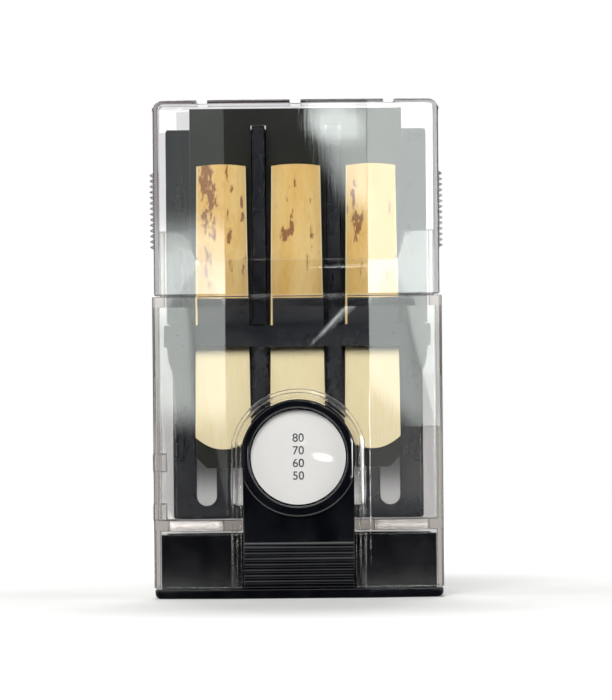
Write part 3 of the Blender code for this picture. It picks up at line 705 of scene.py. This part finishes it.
@dataclass
class Indicator:
    """The indicator card with its printed numbers, behind a domed lens."""

    turn_steps: int = 128
    rim_steps: int = 6
    dome_steps: int = 40
    back_steps: int = 12
    lens_rise: float = 0.8 * MM
    lens_sharp: float = math.radians(30.0)
    edge_round: float = 0.12 * MM
    digit_share: float = 0.7
    digit_height: float = 1.95 * MM
    digit_swell: float = 0.02 * MM
    line_pitch: float = 2.95 * MM
    ink_thickness: float = 0.02 * MM
    numbers: Sequence[str] = ("80", "70", "60", "50")

    def turn(self, name: str, radii: np.ndarray, ahead: np.ndarray, height: float) -> Thing:
        """A smooth piece: a profile turned about a level axis that points to the front.

        Step j of a profile point is (r cos t, -f, height + r sin t), with t = 2 pi j / steps.

        Args:
            name: the piece's name.
            radii: r, how far from the axis each profile point is.
            ahead: f, how far to the front it is.
            height: how high the axis lies.

        Returns:
            The new piece.
        """
        angle = np.linspace(0.0, 2.0 * math.pi, self.turn_steps, endpoint=False)[None, :]
        radius = radii[:, None]
        points = np.stack([radius * np.cos(angle), -ahead[:, None] + 0.0 * angle,
                           height + radius * np.sin(angle)], axis=-1)
        piece = new_mesh(name, points, grid_faces(len(radii), self.turn_steps))
        piece.data.shade_smooth()
        return piece

    def card(self) -> None:
        """The card: a thin disc with softened rims.

        The profile runs from the middle of the face over a quarter round of the radius c, r = R -
        c + c sin a and f = face - c + c cos a, to the rim, and back over another.
        """
        low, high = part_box("indicator_disc")
        radius, face, back = (high.x - low.x) / 2, -low.y, -high.y
        bend = np.linspace(0.0, math.pi / 2, self.rim_steps)
        soft = self.edge_round
        radii = np.concatenate([[0.0, radius / 2], radius - soft + soft * np.sin(bend),
                                radius - soft + soft * np.cos(bend), [radius / 2, 0.0]])
        ahead = np.concatenate([[face, face], face - soft + soft * np.cos(bend),
                                back + soft - soft * np.sin(bend), [back, back]])
        piece = self.turn("indicator_card", radii, ahead, (high.z + low.z) / 2)
        seat(piece, INDICATOR_CARD, Body.BASE.value, Slot.CARD, "indicator_disc")

    def lens(self) -> None:
        """The lens: a flat back, a short rim and a dome that rises by f = rise (1 - (r / R)^2)."""
        low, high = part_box("disc_lens")
        radius, face, back = (high.x - low.x) / 2, -low.y, -high.y
        share = np.sin(np.linspace(0.0, math.pi / 2, self.dome_steps))
        dome = face - self.lens_rise * share ** 2
        soft = self.edge_round
        radii = np.concatenate([radius * share * (1 - soft / radius),
                                [radius, radius, radius - soft],
                                radius * np.linspace(0.95, 0.0, self.back_steps)])
        ahead = np.concatenate([dome, [dome[-1] - soft, back + soft, back],
                                np.full(self.back_steps, back)])
        piece = self.turn("indicator_lens", radii, ahead, (high.z + low.z) / 2)
        piece.data.set_sharp_from_angle(angle=self.lens_sharp)
        seat(piece, LENS_CLEAR, Body.BASE.value, Slot.CLEAR, "disc_lens")

    def printing(self) -> None:
        """The numbers, in one column on the middle of the card, as one thin mesh."""
        low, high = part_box("indicator_disc")
        height = (high.z + low.z) / 2
        work = bmesh.new()
        for line, number in enumerate(self.numbers):
            curve = bpy.data.curves.new("number", "FONT")
            curve.body = number
            curve.size = self.digit_height / self.digit_share
            curve.align_x = curve.align_y = "CENTER"
            curve.extrude = self.ink_thickness / 2
            curve.offset = self.digit_swell
            text = link_new("number", curve)
            bpy.context.view_layer.update()
            graph = bpy.context.evaluated_depsgraph_get()
            mesh = bpy.data.meshes.new_from_object(text.evaluated_get(graph))
            drop = (line - (len(self.numbers) - 1) / 2) * self.line_pitch
            at = Matrix.Translation((0.0, low.y - self.ink_thickness, height - drop))
            mesh.transform(at @ Matrix.Rotation(math.pi / 2, 4, "X"))
            work.from_mesh(mesh)
            bpy.data.objects.remove(text)
        bmesh.ops.remove_doubles(work, verts=work.verts, dist=WELD)
        mesh = bpy.data.meshes.new("indicator_numbers")
        work.to_mesh(mesh)
        work.free()
        seat(link_new("indicator_numbers", mesh), INK, Body.BASE.value, Slot.CARD)

    def build(self) -> None:
        """Make the card, the numbers and the lens."""
        self.card()
        self.printing()
        self.lens()


Patch = tuple[float, float, float, float, float]


@dataclass
class Reed:
    """One cane reed: a crowned bark butt and a vamp that thins to a rounded tip."""

    node: str
    body: str
    finish: Cane
    patches: Sequence[Patch]
    length: float = 67.1 * MM
    tip_width: float = 13.1 * MM
    butt_width: float = 11.5 * MM
    bark_thickness: float = 2.75 * MM
    bark_length: float = 36.4 * MM
    vamp_thickness: float = 2.25 * MM
    vamp_drop: float = 2.4 * MM
    tip_thickness: float = 0.30 * MM
    tip_bulge: float = 2.9 * MM
    butt_bulge: float = 0.45 * MM
    crown_radius: float = 26.0 * MM
    pared_edge: float = 0.975
    side_drop: float = 0.10 * MM
    thinnest: float = 0.12 * MM
    bark_blend: float = 0.08 * MM
    sharp: float = math.radians(35.0)
    across_steps: int = 34
    along_steps: int = 180

    def surface(self) -> tuple[np.ndarray, np.ndarray, np.ndarray]:
        """Rings of points from tip to butt, each over the front and back along the flat.

        At s from -1 to 1 across and t from 0 to 1 along: the height is z = tip s^2 + t (length -
        butt s^2 - tip s^2), the half width w goes from tip to butt with z, x = s w, and the front
        stands min(crown(x), vamp(z)) off the back, where crown(x) = bark - R + sqrt(R^2 - x^2) and
        vamp(z) is a straight slope, a little lower at its sides, that ends in a short rise to the
        bark.

        Returns:
            The rings, and on the front the share of bark and how crowded the spots are.
        """
        low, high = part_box(self.node)
        faces_front = low.y < 0
        back = high.y if faces_front else low.y
        outward = -1.0 if faces_front else 1.0
        middle = (low.x + high.x) / 2
        s = np.sin(np.linspace(-math.pi / 2, math.pi / 2, self.across_steps))[None, :]
        t = np.linspace(0.0, 1.0, self.along_steps)[:, None]
        foot = self.tip_bulge * s ** 2
        z = foot + t * (self.length - self.butt_bulge * s ** 2 - foot)
        half = (self.tip_width + (self.butt_width - self.tip_width) * z / self.length) / 2
        x = s * half
        crown = self.bark_thickness - self.crown_radius + np.sqrt(self.crown_radius ** 2 - x ** 2)
        bark_foot = self.length - self.bark_length
        slope_end = bark_foot - self.vamp_drop
        vamp = np.interp(z, [0.0, slope_end, bark_foot, bark_foot + self.vamp_drop],
                         [self.tip_thickness, self.vamp_thickness, self.bark_thickness,
                          2 * self.bark_thickness])
        vamp = vamp - self.side_drop * s ** 2 * np.clip(1 - z / slope_end, 0.0, 1.0)
        thick = np.maximum(np.minimum(crown, vamp), self.thinnest)
        bark = np.clip(0.5 + (vamp - crown) / self.bark_blend, 0.0, 1.0)
        bark = bark * np.clip((self.pared_edge - np.abs(s)) / (1.0 - self.pared_edge), 0.0, 1.0)
        front = np.stack([middle + x, back + outward * thick, low.z + z], axis=-1)
        rear = np.stack([middle + x, back + 0.0 * x, low.z + z], axis=-1)
        rings = np.concatenate([front, rear[:, ::-1]], axis=1)
        return rings, bark, self.spotted(s, z / self.length)

    def build(self) -> None:
        """Make the reed's mesh and dress it, with two attributes that are nothing on its back."""
        rings, bark, spotted = self.surface()
        columns = rings.shape[1]
        faces = np.concatenate([grid_faces(self.along_steps, columns), ring_cap(0, columns),
                                ring_cap((self.along_steps - 1) * columns, columns)])
        piece = new_mesh(self.node + "_cane", rings, faces, poles=False)
        for name, share in (("bark", bark), ("spotted", spotted)):
            values = np.concatenate([share, 0.0 * share], axis=1).astype(np.float32)
            attribute = piece.data.attributes.new(name, "FLOAT", "POINT")
            attribute.data.foreach_set("value", values.ravel())
        piece.data.shade_smooth()
        piece.data.set_sharp_from_angle(angle=self.sharp)
        seat(piece, self.finish, self.body, Slot.CANE, self.node)

    def spotted(self, across: np.ndarray, along: np.ndarray) -> np.ndarray:
        """How crowded the bark's spots are, as the strongest of the reed's patches.

        A patch (s0, t0, w, l, p) gives p exp(-(((s - s0) / w)^2 + ((t - t0) / l)^2)^2).

        Args:
            across: s, from -1 to 1 across the reed.
            along: t, from 0 at the tip to 1 at the butt.

        Returns:
            An array of the shape of along.
        """
        crowd = np.zeros_like(along)
        for middle, up, width, length, strength in self.patches:
            away = ((across - middle) / width) ** 2 + ((along - up) / length) ** 2
            crowd = np.maximum(crowd, strength * np.exp(-away ** 2))
        return crowd


@dataclass
class Sponge:
    """The foam block in the tank, a little slack at its edges."""

    edge_round: float = 1.0 * MM

    def build(self, node: Thing) -> None:
        """Round the block and dress it in foam.

        Args:
            node: the frame's sponge.
        """
        piece = EdgeRound(self.edge_round, segments=4).copy(node, "damp_sponge")
        seat(piece, FOAM, Body.BASE.value, Slot.FOAM, "moisture_sponge")


# For each row and reed: the seed of its cane and the patches of spots on its bark
REED_MARKS: Mapping[str, Sequence[tuple[float, Sequence[Patch]]]] = {
    "front": (
        (3.1, ((-0.62, 0.955, 0.34, 0.085, 1.0), (-0.42, 0.885, 0.30, 0.06, 0.9),
               (-0.64, 0.80, 0.22, 0.08, 0.75), (-0.35, 0.78, 0.18, 0.10, 0.7),
               (-0.55, 0.66, 0.30, 0.08, 0.7), (-0.40, 0.57, 0.30, 0.05, 0.6),
               (0.21, 0.975, 0.08, 0.03, 1.0), (0.36, 0.91, 0.13, 0.03, 0.7),
               (0.82, 0.865, 0.08, 0.025, 1.0), (0.24, 0.82, 0.08, 0.025, 0.9),
               (0.82, 0.815, 0.09, 0.025, 1.0), (0.29, 0.752, 0.13, 0.038, 1.0),
               (0.92, 0.68, 0.07, 0.025, 0.9), (0.35, 0.64, 0.09, 0.03, 0.8),
               (0.82, 0.615, 0.07, 0.04, 0.8))),
        (11.7, ((-0.04, 0.93, 0.10, 0.022, 1.0), (-0.18, 0.82, 0.09, 0.03, 0.9),
                (-0.20, 0.777, 0.13, 0.038, 1.0), (-0.45, 0.757, 0.22, 0.034, 1.0),
                (0.56, 0.87, 0.07, 0.015, 0.9), (-0.38, 0.875, 0.09, 0.022, 0.7),
                (0.60, 0.74, 0.06, 0.045, 0.8), (0.45, 0.65, 0.06, 0.05, 0.8))),
        (23.9, ((-0.63, 0.93, 0.12, 0.022, 0.7), (-0.71, 0.893, 0.10, 0.025, 0.9),
                (-0.68, 0.858, 0.08, 0.032, 1.0), (-0.93, 0.84, 0.08, 0.022, 0.9),
                (-0.56, 0.788, 0.22, 0.055, 1.0), (-0.36, 0.805, 0.09, 0.038, 1.0),
                (-0.59, 0.73, 0.08, 0.022, 0.9), (-0.39, 0.64, 0.08, 0.04, 0.7),
                (0.75, 0.84, 0.09, 0.03, 0.7), (0.60, 0.60, 0.12, 0.05, 0.7)))),
    "rear": (
        (31.3, ((0.50, 0.90, 0.30, 0.09, 0.9), (0.20, 0.76, 0.10, 0.04, 1.0),
                (-0.70, 0.84, 0.09, 0.03, 0.9), (-0.30, 0.66, 0.12, 0.04, 0.8))),
        (47.1, ((-0.25, 0.94, 0.12, 0.03, 1.0), (0.35, 0.82, 0.20, 0.05, 0.9),
                (0.70, 0.70, 0.09, 0.03, 0.8))),
        (58.6, ((-0.55, 0.88, 0.26, 0.10, 0.9), (0.10, 0.80, 0.10, 0.03, 1.0),
                (0.62, 0.92, 0.12, 0.03, 0.8), (0.30, 0.64, 0.14, 0.04, 0.7)))),
}


@dataclass
class RoundedNodes:
    """A sub-assembly whose rigid pieces keep the frame's shapes and get rounded edges."""

    nodes: Mapping[str, Thing]

    def dress(self, edge: EdgeRound, finish: Finish, body: Body, slot: Slot, *nodes: str) -> None:
        """Copy, round and dress some of the frame's nodes.

        Args:
            edge: how their edges are rounded.
            finish: what they wear.
            body: the body that they ride on.
            slot: the record's slot that the finish comes from.
            nodes: their names.
        """
        for node in nodes:
            seat(edge.copy(self.nodes[node], node + "_piece"), finish, body.value, slot, node)


@dataclass
class HumidifierBase(RoundedNodes):
    """The black base: tank, grille, tongue and bezel, with the indicator and the sponge."""

    tank_round: float = 0.16 * MM
    grille_round: float = 0.15 * MM
    tongue_round: float = 0.045 * MM
    bezel_round: float = 0.20 * MM

    def build(self) -> None:
        """Make the base's pieces."""
        black = (GLOSS_BLACK, Body.BASE, Slot.GLOSS_BLACK)
        self.dress(EdgeRound(self.tank_round), *black, "humidifier_tank")
        self.dress(EdgeRound(self.grille_round), *black, "tank_grille")
        self.dress(EdgeRound(self.tongue_round), *black, "front_tongue")
        self.dress(EdgeRound(self.bezel_round), *black, "indicator_bezel")
        Indicator().build()
        Sponge().build(self.nodes["moisture_sponge"])


@dataclass
class CaseBody(RoundedNodes):
    """The clear shell around the black spine with its beds and clamps."""

    shell_round: float = 0.20 * MM
    collar_reach: float = 1.0 * MM
    neck_start: float = 3.2 * MM
    neck_end: float = 2.2 * MM
    spine_round: float = 0.25 * MM
    bed_round: float = 0.08 * MM
    clamp_round: float = 0.10 * MM

    def build(self) -> None:
        """Make the body's pieces, the shell with a softer collar and a crisp neck under it."""
        rim, collar_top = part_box("lid_shell")[0].z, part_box("body_shell")[1].z
        collar = (rim + self.collar_reach, collar_top + self.collar_reach)
        neck = (rim - self.neck_start, rim - self.neck_end)
        shell = EdgeRound(self.shell_round, segments=3, lips=(collar,), crisp=(neck,))
        black = (SATIN_BLACK, Body.CASE, Slot.SATIN_BLACK)
        self.dress(shell, BODY_CLEAR, Body.CASE, Slot.CLEAR, "body_shell")
        self.dress(EdgeRound(self.spine_round), *black, "spine_plate")
        self.dress(EdgeRound(self.bed_round), BED_SHEET, Body.CASE, Slot.BED,
                   "front_reed_bed", "rear_reed_bed")
        self.dress(EdgeRound(self.clamp_round), *black, "front_reed_clamp", "rear_reed_clamp")


@dataclass
class Lid(RoundedNodes):
    """The clear lid."""

    shell_round: float = 0.16 * MM
    lip_reach: float = 1.0 * MM
    top_depth: float = 0.3 * MM

    def build(self) -> None:
        """Make the lid, with a softer rim and top."""
        low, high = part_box("lid_shell")
        skirt = (low.z - self.lip_reach, low.z + self.lip_reach)
        top = (high.z - self.top_depth, high.z + self.lip_reach)
        self.dress(EdgeRound(self.shell_round, segments=3, lips=(skirt, top)),
                   LID_CLEAR, Body.LID, Slot.CLEAR, "lid_shell")


# Studio

@dataclass(frozen=True)
class SoftLamp:
    """An area lamp that lights but isn't mirrored."""

    name: str
    place: Color
    size: float
    share: float

    def build(self) -> None:
        """Hang the lamp, aimed at the case.

        A white face that looks straight at it shows share of full white: the power is
        share pi^2 d^2 at the distance d.
        """
        lamp = bpy.data.lights.new(self.name, "AREA")
        lamp.shape = "DISK"
        lamp.size = self.size
        way = Vector(CASE_MIDDLE) - Vector(self.place)
        lamp.energy = self.share * math.pi ** 2 * way.length_squared
        thing = link_new(self.name, lamp)
        thing.location = self.place
        thing.rotation_euler = way.to_track_quat("-Z", "Y").to_euler()
        thing.visible_camera = thing.visible_glossy = thing.visible_transmission = False


@dataclass(frozen=True)
class GlareCard:
    """A soft-edged bright card that shows only as a reflection, or through something clear.

    Seen through something clear it is brighter by the factor through.
    """

    name: str
    centre: Color
    width: float
    height: float
    strength: float
    soft_x: float = 0.2
    soft_z: float = 0.2
    tone: Color = (0.93, 1.0, 0.96)
    oval: bool = False
    lean: float = 0.0
    tilt: float = 0.0
    through: float = 1.0

    def build(self) -> None:
        """Stand the card up so that it faces the case, and fade its light towards its edges.

        Its corners are half its width and half its height away from its centre.
        """
        to_case = Vector(CASE_MIDDLE) - Vector(self.centre)
        turn = to_case.to_track_quat("Y", "Z").to_matrix().to_4x4()
        x, z = self.width / 2, self.height / 2
        mesh = bpy.data.meshes.new(self.name)
        mesh.from_pydata([(-x, 0.0, -z), (x, 0.0, -z), (x, 0.0, z), (-x, 0.0, z)], [],
                         [(0, 1, 2, 3)])
        card = link_new(self.name, mesh)
        card.matrix_world = Matrix.Translation(self.centre) @ turn
        material, graph = new_material(self.name)
        self.write(graph)
        mesh.materials.append(material)
        card.visible_camera = card.visible_diffuse = card.visible_shadow = False
        card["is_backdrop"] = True

    def write(self, graph: Graph) -> None:
        """Light that is full in the middle and gives way to nothing at the edges.

        The lit shape leans sideways by lean times the height, and rises by tilt times the width.

        Args:
            graph: the material's graph.
        """
        side, _, rise = graph.parts("Object")
        leaning = graph.calc("SUBTRACT", side, graph.calc("MULTIPLY", rise, self.lean))
        tilted = graph.calc("SUBTRACT", rise, graph.calc("MULTIPLY", side, self.tilt))
        u = graph.calc("ABSOLUTE", graph.calc("DIVIDE", leaning, self.width / 2))
        v = graph.calc("ABSOLUTE", graph.calc("DIVIDE", tilted, self.height / 2))
        if self.oval:
            away = graph.calc("SQRT", graph.calc("ADD", graph.calc("MULTIPLY", u, u),
                                                 graph.calc("MULTIPLY", v, v)))
            mask = graph.fade(away, 1.0 - self.soft_x, 1.0, 1.0, 0.0)
        else:
            mask = graph.calc("MULTIPLY", graph.fade(u, 1.0 - self.soft_x, 1.0, 1.0, 0.0),
                              graph.fade(v, 1.0 - self.soft_z, 1.0, 1.0, 0.0))
        clearly = graph.add("LightPath").outputs["Is Transmission Ray"]
        level = graph.choose(clearly, self.strength, self.strength * self.through)
        light = graph.add("Emission", {"Color": self.tone, "Strength": level})
        clear = graph.add("BsdfTransparent", {"Color": WHITE})
        graph.surface(graph.add("MixShader", {0: mask, 1: clear, 2: light}))


@dataclass
class Studio:
    """The pale floor, the white surroundings, the lamps and the camera."""

    distance: float = 1.40
    frame_height: float = 165.25 * MM
    side_shift: float = 2.04 * MM
    camera_height: float = 58.18 * MM
    roll: float = math.radians(0.52)
    sensor: float = 36.0
    clip: tuple[float, float] = (0.05, 20.0)
    room_glow: float = 0.06
    floor_radius: float = 0.6
    floor_steps: int = 96
    glow_start: float = 55.0 * MM
    glow_full: float = 190.0 * MM
    rear_card_half: float = 0.25
    rear_card_gap: float = 1.0 * MM
    margin_start: float = 28.0 * MM
    lamps: Sequence[SoftLamp] = (
        SoftLamp("front_lamp", (-0.25, -1.15, 0.85), 0.9, 1.35),
        SoftLamp("left_lamp", (-1.3, -0.5, 0.45), 0.8, 0.50),
        SoftLamp("right_lamp", (1.3, -0.5, 0.45), 0.8, 0.50),
        SoftLamp("back_lamp", (0.0, 0.85, 1.05), 0.7, 1.05),
    )
    # Name, centre, width, height, strength, then how far the light fades sideways and upwards
    cards: Sequence[GlareCard] = (
        GlareCard("right_panel", (0.585, -1.42, 0.185), 0.26, 0.33, 6.5, 0.15, 0.12, tilt=-0.7),
        GlareCard("left_panel", (-0.590, -1.42, 0.072), 0.26, 0.115, 5.2, 0.15, 0.35),
        GlareCard("left_haze", (-0.590, -1.43, 0.150), 0.26, 0.12, 0.7, 0.15, 0.3),
        GlareCard("cloud", (0.019, -1.5, 0.170), 0.040, 0.030, 10.5, 0.7, oval=True),
        GlareCard("cloud_veil", (0.044, -1.51, 0.157), 0.080, 0.070, 5.5, 0.45, 0.5, lean=-0.43),
        GlareCard("lens_panel", (0.222, -1.42, 0.004), 0.25, 0.10, 30.0, 0.6, tone=WHITE,
                  oval=True, tilt=-0.2, through=0.3),
        GlareCard("shelf_panel", (-0.222, -1.42, 0.004), 0.25, 0.10, 0.3, 0.6,
                  tone=(1.0, 1.0, 0.96), oval=True, tilt=0.2, through=24.0),
        GlareCard("top_panel", (0.0, -0.35, 1.30), 1.2, 0.6, 0.2, 0.3, 0.3, WHITE, through=15.0),
        GlareCard("left_strip", (-1.35, -0.25, 0.25), 0.5, 0.8, 2.0, 0.4, 0.4, WHITE, through=0.6),
        GlareCard("right_strip", (1.35, -0.25, 0.25), 0.5, 0.8, 2.5, 0.4, 0.4, WHITE, through=0.5),
    )
    ray_limits: Mapping[str, int] = field(default_factory=lambda: {
        "max_bounces": 40, "transmission_bounces": 40, "glossy_bounces": 12, "diffuse_bounces": 4,
        "transparent_max_bounces": 48})

    def floor(self) -> None:
        """A round pale floor: every point of ring i at step j is (R_i cos t, R_i sin t, 0).

        Away from the case it glows a little, so that it ends in plain white.
        """
        radii = np.array([0.0, self.floor_radius / 2, self.floor_radius])
        angle = np.linspace(0.0, 2.0 * math.pi, self.floor_steps, endpoint=False)[None, :]
        points = np.stack([radii[:, None] * np.cos(angle), radii[:, None] * np.sin(angle),
                           np.zeros((len(radii), self.floor_steps))], axis=-1)
        floor = new_mesh("pale_floor", points, grid_faces(len(radii), self.floor_steps))
        if floor.data.polygons[0].normal.z < 0:
            floor.data.flip_normals()
        material, graph = new_material("pale_floor")
        path = graph.add("LightPath")
        seen = graph.calc("MAXIMUM", path.outputs["Is Camera Ray"], path.outputs["Is Glossy Ray"])
        seen = graph.calc("MAXIMUM", seen, path.outputs["Is Transmission Ray"])
        tooth = graph.noise(90.0, 4.0)
        matte = graph.add("BsdfDiffuse",
                          {"Color": graph.blend(tooth, (0.51, 0.51, 0.50), (0.55, 0.55, 0.54))})
        length = graph.add("VectorMath", {0: graph.place()}, operation="LENGTH")
        rise = graph.fade(length.outputs["Value"], self.glow_start, self.glow_full, 0.05, 0.30)
        glow = graph.calc("MULTIPLY", seen, rise)
        lift = graph.add("Emission", {"Color": WHITE, "Strength": glow})
        graph.surface(graph.add("AddShader", {0: matte, 1: lift}))
        floor.data.materials.append(material)
        floor.visible_glossy = floor.visible_transmission = False
        floor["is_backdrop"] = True

    def rear_card(self) -> None:
        """A glowing card close behind the case, which only rays through the clear walls see.

        It is a square that reaches from -half to half across and from 0 to 2 half up. Its glow is
        white high up and dimmer lower down, a painted shadow of the case: darkest behind the lower
        half of the spine, and less again near the floor. What looks at it from aslant sees it
        darker.
        """
        half, y = self.rear_card_half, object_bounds()[1].y + self.rear_card_gap
        points = np.array([(-half, y, 0.0), (half, y, 0.0), (half, y, 2 * half),
                           (-half, y, 2 * half)])
        card = new_mesh("rear_card", points, np.array([[0, 1, 2, 3]]))
        material, graph = new_material("rear_card")
        across, _, height = graph.parts("Object")
        # Painted shade: the case's shadow on the table behind it, dimmer lower down at the margins
        # and darkest behind the lower half of the spine
        low = graph.fade(height, 36.0 * MM, 45.0 * MM, 0.78, 0.52)
        margin = graph.choose(graph.fade(height, 62.0 * MM, 73.0 * MM), low, 1.0)
        painted_spine_shadow = graph.fade(height, 22.0 * MM, 31.0 * MM, 0.55, 0.11)
        middle = graph.choose(graph.fade(height, 50.0 * MM, 80.0 * MM), painted_spine_shadow, 1.0)
        outside = graph.fade(graph.calc("ABSOLUTE", across), self.margin_start - MM,
                             self.margin_start + MM)
        slant = graph.add("LayerWeight", {"Blend": 0.5}).outputs["Facing"]
        level = graph.calc("MULTIPLY", graph.choose(outside, middle, margin),
                           graph.fade(slant, 0.03, 0.22, 1.0, 0.10))
        graph.surface(graph.add("Emission", {"Color": WHITE, "Strength": level}))
        card.data.materials.append(material)
        card.visible_camera = card.visible_diffuse = False
        card.visible_glossy = card.visible_shadow = False
        card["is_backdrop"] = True

    def surroundings(self) -> None:
        """White behind the case, seen directly and through it; dim in front, where it mirrors.

        Its outer faces also mirror a bright ceiling and table, and its inner faces a bright ceiling
        and everything below the horizon.
        """
        world = bpy.data.worlds.new("studio")
        bpy.context.scene.world = world
        world.use_nodes = True
        graph = Graph(world.node_tree)
        path = graph.add("LightPath")
        _, back, height = graph.parts("Generated")
        mirrored = graph.fade(back, -0.1, 0.7, 0.005, 0.5)
        veiled = graph.calc("ADD", mirrored, graph.fade(height, -0.036, -0.030, 1.2, 0.0))
        veiled = graph.calc("ADD", veiled, graph.fade(height, 0.45, 0.85, 0.0, 1.6))
        through = graph.choose(graph.fade(back, -0.15, 0.15), veiled, 1.0)
        ceiling = graph.calc("MULTIPLY", graph.fade(height, 0.12, 0.35, 0.0, 2.8),
                             graph.fade(height, 0.70, 0.88, 1.0, 0.0))
        table = graph.calc("MULTIPLY", graph.fade(height, -0.45, -0.15, 1.8, 0.0),
                           graph.fade(height, -0.90, -0.75, 0.0, 1.0))
        shine = graph.calc("ADD", mirrored, graph.calc("ADD", ceiling, table))
        glossy = graph.choose(path.outputs["Is Glossy Ray"], self.room_glow, shine)
        clear = graph.choose(path.outputs["Is Transmission Ray"], glossy, through)
        seen = graph.choose(path.outputs["Is Camera Ray"], clear, 1.0)
        background = graph.add("Background", {"Color": WHITE, "Strength": seen})
        graph.add("OutputWorld", {"Surface": background})

    def camera(self) -> None:
        """A long lens, level with the middle of the case, right in front of it, a little rolled."""
        data = bpy.data.cameras.new("camera")
        data.sensor_width = self.sensor
        data.lens = self.sensor * self.distance / self.frame_height
        data.clip_start, data.clip_end = self.clip
        thing = link_new("camera", data)
        thing.location = (self.side_shift, -self.distance, self.camera_height)
        thing.rotation_euler = (math.pi / 2, self.roll, 0.0)
        bpy.context.scene.camera = thing

    def build(self) -> None:
        """Set up the studio."""
        scene = bpy.context.scene
        scene.view_settings.view_transform = "Standard"
        for name, limit in self.ray_limits.items():
            setattr(scene.cycles, name, limit)
        scene.cycles.caustics_reflective = scene.cycles.caustics_refractive = False
        self.floor()
        self.rear_card()
        self.surroundings()
        for part in (*self.lamps, *self.cards):
            part.build()
            LOG.info("studio: %s", part.name)
        self.camera()


def main() -> None:
    """Build the studio and every piece."""
    logging.basicConfig(level=logging.INFO, format="%(message)s")
    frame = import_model()
    Studio().build()
    for assembly in (HumidifierBase, CaseBody, Lid):
        assembly(frame["nodes"]).build()
    for row, marks in REED_MARKS.items():
        for index, (seed, patches) in enumerate(marks, 1):
            Reed(f"{row}_reed_{index}", f"reed_{row[0]}{index}",
                 Cane(f"cane_{row}_{index}", seed), patches).build()


if __name__ == "__main__":
    main()
